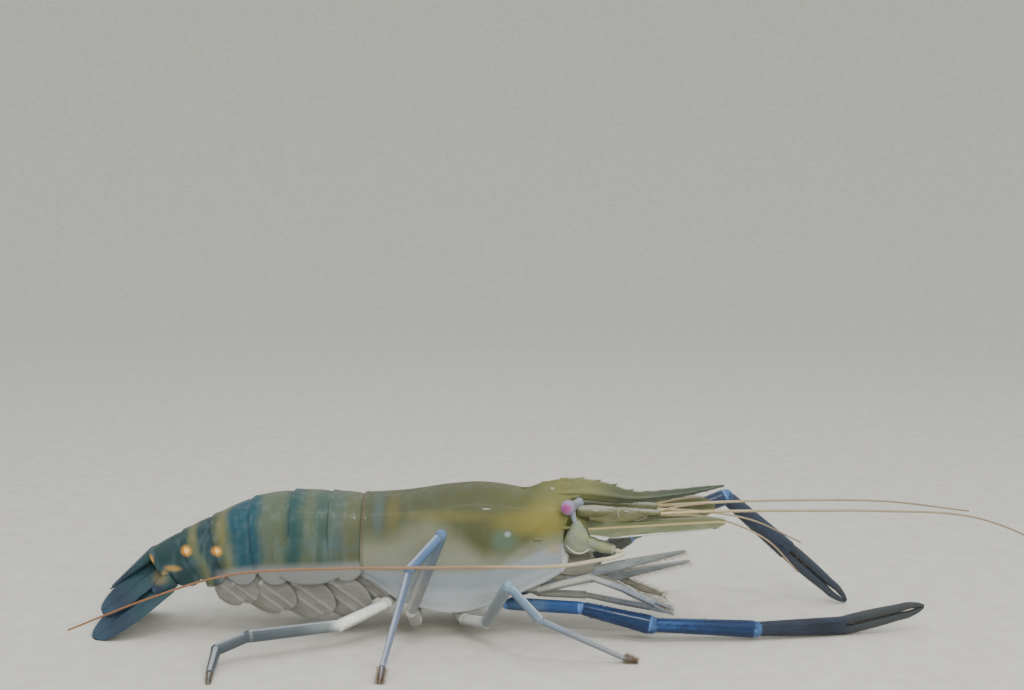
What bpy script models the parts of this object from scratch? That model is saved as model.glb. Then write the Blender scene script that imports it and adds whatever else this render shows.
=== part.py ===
"""Giant river prawn, a still life-size model of the whole animal.

The prawn stands on its walking legs with its long arms laid forward, its tail
fan lowered to the floor and its feelers swept forward and back.

Every size is in millimetres in the body's own frame: x runs forward from the
hind edge of the carapace, y to the animal's left, z up from the floor.
"""
import math

import bmesh
import bpy
import numpy as np
from mathutils import Vector

MM = 0.001
GAP = 0.3

# Driving sizes of the body
CARAPACE_LENGTH = 74.0
CARAPACE_HALF_WIDTH = 20.0
ROSTRUM_TIP = 133.2
SHELL_LIP = 3.5

# The middle of the whole animal, feelers included, over the floor
MIDDLE_X = 76.7
MIDDLE_Y = 3.8

# Side view of the carapace: back line, lower edge, and half width seen from above
BACK_LINE = ((0, 50.6), (15, 51.7), (33, 54.2), (42, 54.7), (50, 54.0), (59, 52.4), (68, 51.0), (78, 49.5))
LOWER_EDGE = ((0, 22.4), (4, 19.8), (11.4, 14.6), (20, 11.2), (31, 9.2), (45, 11.4), (59, 17.2),
              (67, 21.6), (71.5, 25.2), (74, 29.0))
CARAPACE_WIDTHS = ((0, 0.89), (12, 0.96), (30, 1.0), (45, 0.97), (60, 0.85), (70, 0.73), (78, 0.62))

# Side view of the rostrum: its upper and lower edge
ROSTRUM_TOP = ((52, 52.0), (60, 52.9), (66, 54.9), (77, 56.3), (89, 54.6), (99, 51.5), (112, 51.9),
               (125, 53.2), (133.2, 53.9))
ROSTRUM_LOW = ((52, 46.0), (80, 48.3), (95, 46.9), (105, 47.7), (118, 49.4), (133.2, 53.1))
DORSAL_TEETH = 12
VENTRAL_TEETH = 9

# Hind body: where each ring of shell begins, as back point, lower edge point and half width
RINGS = (
    ((0.0, 50.3), (0.5, 22.4), 17.4),
    ((-12.2, 51.2), (-12.0, 21.0), 18.0),
    ((-26.4, 51.6), (-25.8, 20.2), 17.6),
    ((-41.8, 49.2), (-38.5, 19.8), 16.4),
    ((-57.0, 42.6), (-50.0, 19.4), 14.4),
    ((-68.5, 37.0), (-59.5, 18.4), 12.0),
    ((-81.5, 29.8), (-72.0, 17.4), 8.8),
)

# Belly plate: lower line and half width
STERNUM_LOW = ((3, 17.0), (10, 12.0), (20, 8.0), (31, 5.6), (45, 7.6), (55, 11.2), (64, 16.0))
STERNUM_WIDTHS = ((3, 4.5), (12, 8.0), (31, 9.5), (45, 9.0), (55, 7.5), (64, 5.0))

# Joints of the walking legs, from the belly to the toe, and each segment's radius at its ends
LEG_JOINTS = {
    "leg_3_R": ((34, -7, 7.2), (37, -14.5, 6.6), (44.6, -22, 7.6), (52.7, -43, 27.1), (63.6, -47, 16.1),
                (92.5, -43, 1.7), (97.5, -43.2, 0.2)),
    "leg_3_L": ((34, 7, 7.2), (36, 14.5, 6.6), (39, 23, 8.4), (41, 40, 31.0), (48, 46, 18.5),
                (60, 69, 2.0), (62, 73, 0.2)),
    "leg_4_R": ((18, -7, 8.4), (18.6, -15, 6.0), (17.5, -22, 11.7), (29.2, -35, 43.1), (18.5, -43, 32.4),
                (10.6, -60, 4.2), (10.0, -65, 0.2)),
    "leg_4_L": ((18, 7, 8.4), (18.6, 15, 6.0), (17, 22, 11.7), (20, 36, 42.4), (9.5, 43, 31.5),
                (0.5, 62, 4.4), (-0.4, 67, 0.2)),
    "leg_5_R": ((9, -5, 12.6), (7.6, -14, 12.2), (-7.8, -25, 7.6), (-38.1, -40, 8.2), (-48.2, -44.5, 5.0),
                (-47.6, -59, 1.6), (-46.8, -65.5, 0.2)),
    "leg_5_L": ((9, 5, 12.6), (7.6, 14, 12.2), (-6, 25, 9.0), (-34, 40, 15.0), (-45, 46, 9.0),
                (-58, 65, 1.8), (-60, 69, 0.2)),
}
LEG_RADII = {
    "leg_3": ((2.6, 2.3), (2.1, 2.2), (2.15, 2.1), (1.5, 1.6), (1.2, 0.95), (0.9, 0.42)),
    "leg_4": ((2.6, 2.3), (2.1, 2.2), (2.15, 2.1), (1.6, 1.8), (1.3, 0.95), (0.9, 0.42)),
    "leg_5": ((2.6, 2.3), (2.1, 2.2), (2.15, 2.2), (2.0, 2.1), (1.9, 1.3), (1.0, 0.42)),
}

# Joints of the short first legs, which end in a small pincer
FIRST_LEG_JOINTS = {
    "leg_1_R": ((58, -4, 15.6), (64.7, -8, 16.2), (82.9, -14, 22.2), (94.5, -13.2, 17.8), (106, -12.5, 12.2)),
    "leg_1_L": ((58, 4, 14.6), (65, 7, 10.6), (82.4, 10, 9.0), (97, 9.2, 6.2), (107, 8.6, 4.6)),
}
FIRST_LEG_RADII = ((1.7, 1.6), (1.5, 1.5), (1.15, 1.25), (1.3, 1.3))
FIRST_LEG_FINGER = 8.5
FIRST_LEG_FINGER_RADII = (0.62, 0.55, 0.3)
FIRST_LEG_SPREAD = 0.55

# Joints of the big arms, from the belly to the finger tips, and the radii of their segments
ARM_JOINTS = {
    "R": ((52, -6.5, 10.4), (79.3, -15, 11.1), (104.6, -18.5, 5.8), (142.9, -16.3, 3.6), (176.0, -10.5, 3.1),
          (208.0, -4.0, 8.6)),
    "L": ((52, 6.5, 10.4), (77.0, 15.0, 15.5), (99.5, 22.0, 29.5), (138.5, 30, 43.0), (163.0, 30, 21.6),
          (187.0, 30, 0.7)),
}
ARM_SEGMENTS = ("ischium", "merus", "carpus")
ARM_RADII = {"ischium": (2.4, 2.3), "merus": (2.4, 3.4), "carpus": (2.5, 3.1)}
PALM_RADII = (2.5, 3.3, 3.3)
FINGER_RADIUS = 1.9
FINGER_SHARES = (0.95, 1.0, 1.0, 0.92, 0.76, 0.54, 0.28)
FINGER_PLACES = (0.0, 0.18, 0.4, 0.62, 0.82, 0.94, 1.0)
FINGER_FLATNESS = 0.92
FINGER_OPENING = 0.08
ARM_SPINES = 6
ARM_SPINE_TURNS = (math.radians(40), math.radians(140))
ARM_SPINE_SIZE = (1.1, 0.42)

# Head: eyes, and the bases of the two pairs of feelers
EYE = (74.4, 14.2, 48.2)
EYE_RADIUS = 2.8
EYESTALK_ROOT = (78.4, 2.8, 47.5)
EYESTALK_RADII = (1.3, 1.5, 2.0, 2.3)
ORBIT = (79.5, 9.6, 48.6)
ORBIT_RADII = (5.6, 6.4, 4.6)
FACE = (74, 0, 39.5)
FACE_RADII = (9.6, 10.0, 9.5)
MOUTH = (75, 0, 26.0)
MOUTH_RADII = (9.5, 8.6, 8.0)
LIP = (82, 0, 23.5)
LIP_RADII = (4.0, 4.5, 4.5)
ANTENNAL_SPINE = (72.6, 13.6, 40.6)
HEPATIC_SPINE = (62.5, 16.0, 37.0)
ANTENNULE_RADII = (3.2, 3.9, 3.3, 2.6, 2.3, 2.0, 1.9)
ANTENNULE_LOBE = (88.5, 9.0, 44.2)
ANTENNULE_LOBE_RADII = (5.5, 2.2, 2.4)
ANTENNULE_JOINTS = ((79.0, 5.4, 44.6), (92.0, 6.2, 44.6), (101.0, 6.2, 44.5), (108.8, 6.0, 44.3))
ANTENNA_BASE = (78.4, 13.2, 36.0)
ANTENNA_BASE_RADIUS = 5.2
ANTENNA_PEDUNCLE_END = (91.4, 16.2, 33.1)
ANTENNA_PEDUNCLE_RADII = (2.4, 2.3, 2.7, 2.3, 2.0)
SCALE_ROOTS = {"R": (3.6, -0.4, 2.6), "L": (3.6, 2.0, 4.2)}
SCALE_REACHES = {"R": (50.0, 0.8, 3.0), "L": (50.0, -0.4, 1.6)}
SCALE_HALF_WIDTH = 6.8
SCALE_LEANS = {"R": 0.32, "L": 2.2}

# Long feelers of the second pair, sweeping back along each flank
ANTENNA_PATH = {
    "R": ((91.8, -16.3, 33.0), (94.0, -18.0, 32.4), (91.0, -22.0, 31.9), (84.4, -26.0, 31.7),
          (72.7, -32.0, 31.4), (63.8, -37.0, 32.2), (49.9, -42.0, 33.5), (19.3, -50.0, 35.3),
          (-4.1, -53.0, 35.9), (-46.2, -54.0, 32.9), (-68.5, -53.0, 25.7), (-97.9, -49.0, 13.3)),
    "L": ((91.8, 16.3, 33.0), (94.2, 18.2, 33.0), (91.5, 22.5, 33.4), (84.0, 28.0, 33.8),
          (72.0, 34.0, 34.0), (50.0, 44.0, 34.6), (19.0, 54.0, 35.2), (-10.0, 60.0, 34.2),
          (-46.0, 64.0, 30.0), (-70.0, 65.0, 24.0), (-97.0, 63.0, 14.0)),
}
ANTENNA_RADII = (0.85, 0.3)
ANTENNA_POINTS = 40
ANTENNA_CUTS = (0, 18, 30, 39)

# Feelers of the first pair: the long outer one, the inner one and the short branch
ANTENNULE_PATHS = {
    "R": (
        ((108.8, -6.8, 44.4), (123.3, -8.0, 45.3), (166.6, -12.0, 46.7), (188.0, -14.0, 47.0),
         (225.7, -16.0, 44.1), (240.1, -16.0, 38.6), (254.0, -15.0, 30.0)),
        ((108.8, -5.2, 43.6), (126.2, -6.0, 43.0), (136.6, -8.0, 40.6), (147.8, -10.0, 35.2),
         (159.0, -12.0, 23.7)),
        ((108.8, -6.0, 45.4), (116.0, -6.2, 47.0), (127.0, -6.4, 48.2)),
    ),
    "L": (
        ((108.8, 6.8, 44.4), (124.0, 8.5, 45.0), (165.0, 16.0, 44.6), (200.0, 26.0, 42.0),
         (238.0, 40.0, 35.0)),
        ((108.8, 5.2, 43.6), (128.0, 7.0, 42.0), (146.0, 13.0, 37.5), (166.0, 18.0, 27.5)),
        ((108.8, 6.0, 45.4), (116.0, 6.6, 46.8), (126.0, 8.0, 47.6)),
    ),
}
ANTENNULE_WHIP_RADII = ((0.6, 0.3), (0.45, 0.28), (0.4, 0.28))

# Palps that reach forward and down from the mouth, each ending in a brush
PALP_JOINTS = ((76, 6.0, 21.5), (87, 7.6, 20.6), (100.5, 8.0, 13.6), (111.5, 8.2, 9.4))
PALP_RADII = (1.4, 1.5, 1.5, 1.7, 0.5)
PALP_PLACES = (0.0, 0.3, 0.62, 0.8, 1.0)

# Third pair of jaw legs
JAW_LEG_JOINTS = {
    "R": ((64, -5, 18.4), (78, -6.6, 21.0), (95, -7.2, 25.2), (118, -7, 30.4)),
    "L": ((64, 5, 17.4), (78, 6.0, 16.4), (95, 5.6, 18.0), (121, 5, 23.6)),
}
JAW_LEG_RADII = ((1.9, 2.2), (2.1, 1.9), (1.7, 0.6))

# Tail fan: root and tip of each blade on the left side, its half width and how steeply it hangs
TELSON = ((-80.5, 0, 27.8), (-96.2, 0, 15.0))
TELSON_HALF_WIDTHS = (5.2, 1.9)
TELSON_HEIGHTS = (2.6, 0.8)
TELSON_DEPTHS = (2.4, 0.6)
FAN_BLADES = {
    "uropod_endopod": ((-77.4, 4.4, 23.2), (-98.2, 9.2, 8.2), 6.2, 0.85),
    "uropod_exopod": ((-73.2, 7.8, 19.0), (-99.8, 15.8, 0.2), 7.4, 0.80),
}
FAN_STEM_REACH = (-1.9, 6.5)
FAN_STEM_RADII = (4.0, 4.0, 2.6)

# Swimmerets: length of each pair's blades, and how the blades point on the left side
SWIMMERET_LENGTHS = (12.0, 19.5, 19.5, 16.5, 11.5)
SWIMMERET_HALF_WIDTHS = (4.2, 5.4, 5.6, 5.2, 4.4)
SWIMMERET_DROP = 6.6
SWIMMERET_AHEAD = (0.80, 0.0, -0.60)
SWIMMERET_ACROSS = (0.57, 0.32, 0.76)

COLOURS = {
    "carapace": (0.30, 0.28, 0.10),
    "belly": (0.42, 0.42, 0.38),
    "abdomen": (0.06, 0.16, 0.19),
    "tail": (0.02, 0.06, 0.11),
    "arm": (0.02, 0.06, 0.24),
    "claw": (0.03, 0.04, 0.08),
    "leg": (0.22, 0.30, 0.42),
    "feeler": (0.50, 0.34, 0.16),
    "scale": (0.36, 0.36, 0.24),
    "eye": (0.45, 0.10, 0.30),
    "swimmeret": (0.30, 0.28, 0.26),
}

SIDES = {"R": -1, "L": 1}
nodes = {}


def smooth(points, place):
    """Height at a place on the smooth line through a few (place, height) points."""
    places = [float(point[0]) for point in points]
    heights = [float(point[1]) for point in points]
    slopes = np.gradient(heights, places)
    place = min(max(place, places[0]), places[-1])
    index = min(int(np.searchsorted(places, place, side="right")) - 1, len(places) - 2)
    run = places[index + 1] - places[index]
    t = (place - places[index]) / run
    start = (2 * t ** 3 - 3 * t ** 2 + 1) * heights[index] + (t ** 3 - 2 * t ** 2 + t) * run * slopes[index]
    end = (3 * t ** 2 - 2 * t ** 3) * heights[index + 1] + (t ** 3 - t ** 2) * run * slopes[index + 1]
    return start + end


def smooth_path(points, count, crowd=1.0):
    """Points on the smooth curve through a few points, closer together near its start if crowded."""
    points = [Vector(point) for point in points]
    steps = [0.0]
    for one, two in zip(points, points[1:]):
        steps.append(steps[-1] + (two - one).length)
    axes = [[(step, point[axis]) for step, point in zip(steps, points)] for axis in range(3)]
    fine = [Vector([smooth(axis, steps[-1] * i / 400) for axis in axes]) for i in range(401)]
    travel = [0.0]
    for one, two in zip(fine, fine[1:]):
        travel.append(travel[-1] + (two - one).length)
    places = travel[-1] * np.linspace(0, 1, count) ** crowd
    found = [np.interp(places, travel, [point[axis] for point in fine]) for axis in range(3)]
    return [Vector(point) for point in zip(*found)]


def between(one, two, t):
    """Value or point a share t of the way from one to two."""
    return one + (two - one) * t


def mirrored(point, side):
    """A point given on the left side, moved to the side asked for."""
    return Vector((point[0], point[1] * side, point[2]))


def make_material(name):
    """Plain shell material of one colour."""
    material = bpy.data.materials.get(name)
    if material is None:
        material = bpy.data.materials.new(name)
        material.use_nodes = True
        shader = material.node_tree.nodes["Principled BSDF"]
        shader.inputs["Base Color"].default_value = (*COLOURS[name], 1.0)
        shader.inputs["Roughness"].default_value = 0.3
        shader.inputs["Metallic"].default_value = 0.0
    return material


def make_object(name, points, faces):
    """Closed mesh object from points in millimetres of the body's frame."""
    mesh = bpy.data.meshes.new(name)
    mesh.from_pydata([tuple(point) for point in points], [], faces)
    bm = bmesh.new()
    bm.from_mesh(mesh)
    bmesh.ops.triangulate(bm, faces=[face for face in bm.faces if len(face.verts) > 3])
    bmesh.ops.recalc_face_normals(bm, faces=bm.faces[:])
    bm.to_mesh(mesh)
    bm.free()
    obj = bpy.data.objects.new(name, mesh)
    bpy.context.collection.objects.link(obj)
    return obj


def loft(name, rings):
    """Skin over a row of rings with as many points each, closed by a flat cap at each end."""
    count = len(rings[0])
    points = [point for ring in rings for point in ring]
    faces = []
    for row in range(len(rings) - 1):
        for i in range(count):
            one = row * count + i
            two = row * count + (i + 1) % count
            faces.append((one, two, two + count))
            faces.append((one, two + count, one + count))
    faces.append(tuple(range(count)))
    faces.append(tuple(range(len(points) - 1, len(points) - 1 - count, -1)))
    return make_object(name, points, faces)


def path_frames(points, up):
    """Direction, side and up at each point, turned as little as possible along the path."""
    frames = []
    lift = Vector(up)
    for i, point in enumerate(points):
        before = points[max(i - 1, 0)]
        after = points[min(i + 1, len(points) - 1)]
        ahead = (after - before).normalized()
        lift = (lift - ahead * lift.dot(ahead)).normalized()
        frames.append((ahead, lift.cross(ahead), lift))
    return frames


def tube(name, points, radii, sides=8, up=(0, 0, 1), flat=1.0, cut_start=None, cut_end=None):
    """Tube along a path; flat squeezes it in the up direction, cuts tilt its ends."""
    points = [Vector(point) for point in points]
    rings = []
    for point, radius, (ahead, side, lift) in zip(points, radii, path_frames(points, up)):
        ring = []
        for i in range(sides):
            turn = 2 * math.pi * (i + 0.5) / sides
            ring.append(point + side * radius * math.cos(turn) + lift * radius * flat * math.sin(turn))
        rings.append(ring)
    for index, normal in ((0, cut_start), (-1, cut_end)):
        if normal is not None:
            centre = points[index]
            ahead = path_frames(points, up)[index][0]
            slide = ahead.dot(normal)
            shifts = [(corner - centre).dot(normal) / slide for corner in rings[index]]
            rings[index] = [corner - ahead * shift for corner, shift in zip(rings[index], shifts)]
    return loft(name, rings)


def ball(name, centre, radii, rows=6, sides=10):
    """Ellipsoid with its poles up and down."""
    centre = Vector(centre)
    rings = []
    for row in range(1, rows):
        tilt = math.pi * row / rows - math.pi / 2
        ring = []
        for i in range(sides):
            turn = 2 * math.pi * i / sides
            ring.append(centre + Vector((radii[0] * math.cos(tilt) * math.cos(turn),
                                         radii[1] * math.cos(tilt) * math.sin(turn),
                                         radii[2] * math.sin(tilt))))
        rings.append(ring)
    points = [point for ring in rings for point in ring]
    points.append(centre - Vector((0, 0, radii[2])))
    points.append(centre + Vector((0, 0, radii[2])))
    faces = []
    for row in range(len(rings) - 1):
        for i in range(sides):
            one = row * sides + i
            two = row * sides + (i + 1) % sides
            faces.append((one, two, two + sides))
            faces.append((one, two + sides, one + sides))
    last = (len(rings) - 1) * sides
    for i in range(sides):
        after = (i + 1) % sides
        faces.append((len(points) - 2, after, i))
        faces.append((len(points) - 1, last + i, last + after))
    return make_object(name, points, faces)


def slab(name, rows, thickness):
    """Thin vane: a grid of (middle point, normal) rows given thickness, split alike on both faces."""
    height = len(rows)
    width = len(rows[0])
    points = []
    for level in (1, -1):
        for r, row in enumerate(rows):
            for c, (point, normal) in enumerate(row):
                rim = r == height - 1 or c in (0, width - 1)
                half = thickness * (0.3 if rim else 0.5)
                points.append(point + normal * half * level)
    faces = []
    under = height * width
    for r in range(height - 1):
        for c in range(width - 1):
            a = r * width + c
            b = a + 1
            d = a + width
            e = d + 1
            faces += [(a, b, e), (a, e, d)]
            faces += [(under + a, under + e, under + b), (under + a, under + d, under + e)]
    border = [c for c in range(width)]
    border += [r * width + width - 1 for r in range(1, height)]
    border += [(height - 1) * width + c for c in range(width - 2, -1, -1)]
    border += [r * width for r in range(height - 2, 0, -1)]
    for i, one in enumerate(border):
        two = border[(i + 1) % len(border)]
        faces += [(one, under + one, under + two), (one, under + two, two)]
    return make_object(name, points, faces)


def leaf(name, root, tip, side, half_width, thickness, shape, rows=7, columns=5, arch=0.12):
    """Leaf-shaped vane from root to tip; shape gives its (left, right) width share along its length."""
    root = Vector(root)
    tip = Vector(tip)
    ahead = (tip - root).normalized()
    side = Vector(side)
    side = (side - ahead * side.dot(ahead)).normalized()
    normal = ahead.cross(side)
    grid = []
    for r in range(rows):
        t = r / (rows - 1)
        left, right = shape(t)
        row = []
        for c in range(columns):
            across = between(-left, right, c / (columns - 1))
            point = between(root, tip, t) + side * half_width * across
            point += normal * half_width * arch * (1 - across * across)
            row.append((point, normal))
        grid.append(row)
    return slab(name, grid, thickness)


def spine(root, direction, length, radius, name="spine"):
    """Small four-sided spine with its root sunk below the surface."""
    root = Vector(root)
    direction = Vector(direction).normalized()
    side = direction.orthogonal().normalized()
    lift = direction.cross(side)
    base = root - direction * radius
    points = [base + side * radius, base + lift * radius, base - side * radius, base - lift * radius,
              root + direction * length]
    faces = [(0, 1, 4), (1, 2, 4), (2, 3, 4), (3, 0, 4), (3, 2, 1, 0)]
    return make_object(name, points, faces)


def is_closed(mesh):
    """True where every edge of a mesh has two faces."""
    bm = bmesh.new()
    bm.from_mesh(mesh)
    closed = len(bm.faces) > 0 and all(len(edge.link_faces) == 2 for edge in bm.edges)
    bm.free()
    return closed


def keep_largest(mesh):
    """Keep only the largest closed surface of a mesh."""
    bm = bmesh.new()
    bm.from_mesh(mesh)
    unseen = set(bm.faces)
    best = []
    best_area = 0.0
    while unseen:
        island = []
        waiting = [unseen.pop()]
        while waiting:
            face = waiting.pop()
            island.append(face)
            for edge in face.edges:
                for other in edge.link_faces:
                    if other in unseen:
                        unseen.remove(other)
                        waiting.append(other)
        area = sum(face.calc_area() for face in island)
        if area > best_area:
            best_area = area
            best = island
    keep = set(best)
    bmesh.ops.delete(bm, geom=[face for face in bm.faces if face not in keep], context="FACES")
    bmesh.ops.triangulate(bm, faces=[face for face in bm.faces if len(face.verts) > 3])
    bm.to_mesh(mesh)
    bm.free()


def combine(obj, others, operation):
    """Apply one Boolean of an object with a collection of others, which are then removed."""
    group = bpy.data.collections.new("others")
    bpy.context.scene.collection.children.link(group)
    for other in others:
        bpy.context.collection.objects.unlink(other)
        group.objects.link(other)
    for solver in ("EXACT", "MANIFOLD"):
        modifier = obj.modifiers.new("join", "BOOLEAN")
        modifier.operation = operation
        modifier.operand_type = "COLLECTION"
        modifier.collection = group
        modifier.solver = solver
        depsgraph = bpy.context.evaluated_depsgraph_get()
        mesh = bpy.data.meshes.new_from_object(obj.evaluated_get(depsgraph))
        obj.modifiers.remove(modifier)
        keep_largest(mesh)
        if is_closed(mesh):
            break
    mesh.name = obj.name
    obj.data = mesh
    for other in others:
        bpy.data.objects.remove(other)
    bpy.data.collections.remove(group)
    return obj


def join(name, pieces):
    """One closed body from pieces that overlap."""
    body = pieces[0]
    body.name = name
    if len(pieces) > 1:
        combine(body, pieces[1:], "UNION")
    return body


def grown(obj, margin=GAP):
    """Copy of a solid with its surface moved out by the gap that pieces keep."""
    mesh = obj.data.copy()
    normals = [Vector(vertex.normal) for vertex in mesh.vertices]
    for vertex, normal in zip(mesh.vertices, normals):
        vertex.co += normal * margin
    copy = bpy.data.objects.new("grown", mesh)
    bpy.context.collection.objects.link(copy)
    return copy


def add_node(obj, material, fit_to=()):
    """Trim an object to the nodes that it grows from and list it as a finished node."""
    if fit_to:
        combine(obj, [grown(nodes[name]) for name in fit_to], "DIFFERENCE")
    obj.data.materials.clear()
    obj.data.materials.append(make_material(material))
    nodes[obj.name] = obj
    return obj


def carapace_half(x, steps=6):
    """Right half of the carapace's section, as (half width, height), from its back to its underside."""
    top = smooth(BACK_LINE, x)
    low = smooth(LOWER_EDGE, x)
    half = smooth(CARAPACE_WIDTHS, x) * CARAPACE_HALF_WIDTH
    waist = between(low, top, 0.42)
    lip = SHELL_LIP * min(1.0, (top - low) / 36.0)
    section = []
    for i in range(steps + 1):
        turn = math.pi / 2 * i / steps
        section.append((half * math.sin(turn) ** 0.86, waist + (top - waist) * math.cos(turn) ** 0.86))
    for i in range(1, steps - 1):
        turn = math.pi / 2 * i / (steps - 2)
        section.append((half * (0.68 + 0.32 * math.cos(turn)), waist - (waist - low) * math.sin(turn)))
    section += [(half * 0.60, low + 1.0), (half * 0.50, low + lip), (0.0, low + lip + 0.4)]
    return section


def full_ring(half_section, place):
    """Whole ring from a half section; place turns (side, height) into a point."""
    left = [place(side, height) for side, height in half_section]
    right = [place(-side, height) for side, height in half_section[-2:0:-1]]
    return left + right


def carapace_front(x, z):
    """Shift of the shell's front margin, which leans back between the orbit and the lower corner."""
    blend = max(0.0, (x - 56.0) / (CARAPACE_LENGTH - 56.0))
    return (0.035 * (z - 36.7) ** 2 - 1.5) * blend * blend


def build_carapace():
    """Carapace with its rostrum, teeth and side spines, hollowed for the eyes."""
    rings = []
    for x in (0, 4, 9, 15, 22, 31, 40, 48, 55, 61, 66, 70, CARAPACE_LENGTH):
        rings.append(full_ring(carapace_half(x), lambda y, z: Vector((x + carapace_front(x, z), y, z))))
    pieces = [loft("carapace", rings)]
    pieces.append(ball("face", FACE, FACE_RADII))
    blade = []
    for x in (52, 58, 64, 70, 77, 84, 92, 100, 111, 123, ROSTRUM_TIP):
        top = smooth(ROSTRUM_TOP, x)
        low = smooth(ROSTRUM_LOW, x)
        thick = np.interp(x, (52, 75, 100, 125, ROSTRUM_TIP), (2.4, 2.2, 1.5, 0.9, 0.4))
        ridge = between(low, top, 0.42)
        half = [(0.0, top), (0.3 * thick, top - 0.12 * (top - low)), (0.42 * thick, between(ridge, top, 0.4)),
                (thick, ridge), (0.4 * thick, between(low, ridge, 0.5)), (0.0, low)]
        blade.append(full_ring(half, lambda y, z: Vector((x, y, z))))
    pieces.append(loft("rostrum", blade))
    for i in range(DORSAL_TEETH):
        t = i / (DORSAL_TEETH - 1)
        x = between(58.0, 127.0, t ** 0.92)
        root = (x, 0, smooth(ROSTRUM_TOP, x) - 0.3)
        pieces.append(spine(root, (1.0, 0, 0.42), between(3.4, 2.2, t), between(0.8, 0.5, t)))
    for i in range(VENTRAL_TEETH):
        t = i / (VENTRAL_TEETH - 1)
        x = between(88.0, 126.0, t)
        root = (x, 0, smooth(ROSTRUM_LOW, x) + 0.3)
        pieces.append(spine(root, (1.0, 0, -0.5), between(2.6, 1.8, t), between(0.7, 0.45, t)))
    for side in SIDES.values():
        pieces.append(spine(mirrored(ANTENNAL_SPINE, side), (1.0, 0.12 * side, 0.08), 4.2, 0.8))
        pieces.append(spine(mirrored(HEPATIC_SPINE, side), (1.0, 0.25 * side, 0.05), 3.4, 0.8))
    shell = join("carapace", pieces)
    orbits = [ball("orbit", mirrored(ORBIT, side), ORBIT_RADII) for side in SIDES.values()]
    combine(shell, orbits, "DIFFERENCE")
    add_node(shell, "carapace")


def build_sternum():
    """Belly plate between the leg roots, tucked up inside the carapace's lower edges."""
    rings = []
    for x in (3, 8, 14, 20, 26, 32, 39, 46, 54, 60, 64):
        low = smooth(STERNUM_LOW, x)
        half = smooth(STERNUM_WIDTHS, x)
        top = smooth(LOWER_EDGE, x) + SHELL_LIP + 1.5
        section = [(0.0, top), (half, top), (half, between(low, top, 0.55)), (0.72 * half, low + 0.6),
                   (0.0, low)]
        rings.append(full_ring(section, lambda y, z: Vector((x, y, z))))
    add_node(loft("sternum", rings), "belly", ["carapace"])


def build_mouth():
    """Mouth field below the face, between the feeler bases and the jaw legs."""
    pieces = [ball("mouthparts", MOUTH, MOUTH_RADII), ball("lip", LIP, LIP_RADII)]
    for side in SIDES.values():
        line = smooth_path([mirrored(point, side) for point in PALP_JOINTS], 11)
        path = [line[round(t * 10)] for t in PALP_PLACES]
        pieces.append(tube("palp", path, PALP_RADII, 6))
    add_node(join("mouthparts", pieces), "belly", ["carapace", "sternum"])


def build_eyes():
    """Stalked eyes that stand out sideways from below the rostrum."""
    for label, side in SIDES.items():
        centre = mirrored(EYE, side)
        root = mirrored(EYESTALK_ROOT, side)
        outward = (centre - root).normalized()
        join_point = centre - outward * EYE_RADIUS * 0.45
        path = [between(root, join_point, i / 3) for i in range(4)]
        eye = ball("eye_" + label, centre, (EYE_RADIUS, EYE_RADIUS, EYE_RADIUS), 7, 10)
        stalk = tube("eyestalk_" + label, path, EYESTALK_RADII, 8)
        add_node(eye, "eye")
        add_node(stalk, "leg", ["carapace", "eye_" + label])


def build_antennule(label, side):
    """First feeler: a stalk of three segments that carries three whips."""
    joints = [mirrored(point, side) for point in ANTENNULE_JOINTS]
    path = [joints[0], between(joints[0], joints[1], 0.5), joints[1], between(joints[1], joints[2], 0.15),
            joints[2], between(joints[2], joints[3], 0.2), joints[3]]
    pieces = [tube("antennule_" + label, path, ANTENNULE_RADII, 8, flat=0.75)]
    lobe = mirrored(ANTENNULE_LOBE, side)
    pieces.append(ball("lobe", lobe, ANTENNULE_LOBE_RADII, 5, 8))
    pieces.append(spine(lobe + Vector((4.6, 0.6 * side, 0.6)), (1, 0.1 * side, 0.1), 4.0, 0.8))
    for line, radii in zip(ANTENNULE_PATHS[label], ANTENNULE_WHIP_RADII):
        ahead = (Vector(line[1]) - Vector(line[0])).normalized()
        points = smooth_path([Vector(line[0]) - ahead * 1.2] + list(line), 2 * len(line) + 1)
        sizes = [between(radii[0], radii[1], i / (len(points) - 1)) for i in range(len(points))]
        pieces.append(tube("whip", points, sizes, 4))
    add_node(join("antennule_" + label, pieces), "feeler", ["carapace", "eyestalk_" + label])


def scale_shape(t):
    """Width shares of the antennal scale, whose outer edge is straight and inner edge curved."""
    round_end = math.sqrt(max(0.0, 1 - max(0.0, (t - 0.72) / 0.30) ** 2))
    outer = 0.85 * min(1.0, 0.45 + t * 3.0) * (1.0 if t < 0.86 else between(1.0, 0.15, (t - 0.86) / 0.14))
    inner = min(1.0, 0.35 + t * 2.2) * round_end
    return outer, max(inner, 0.12)


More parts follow.
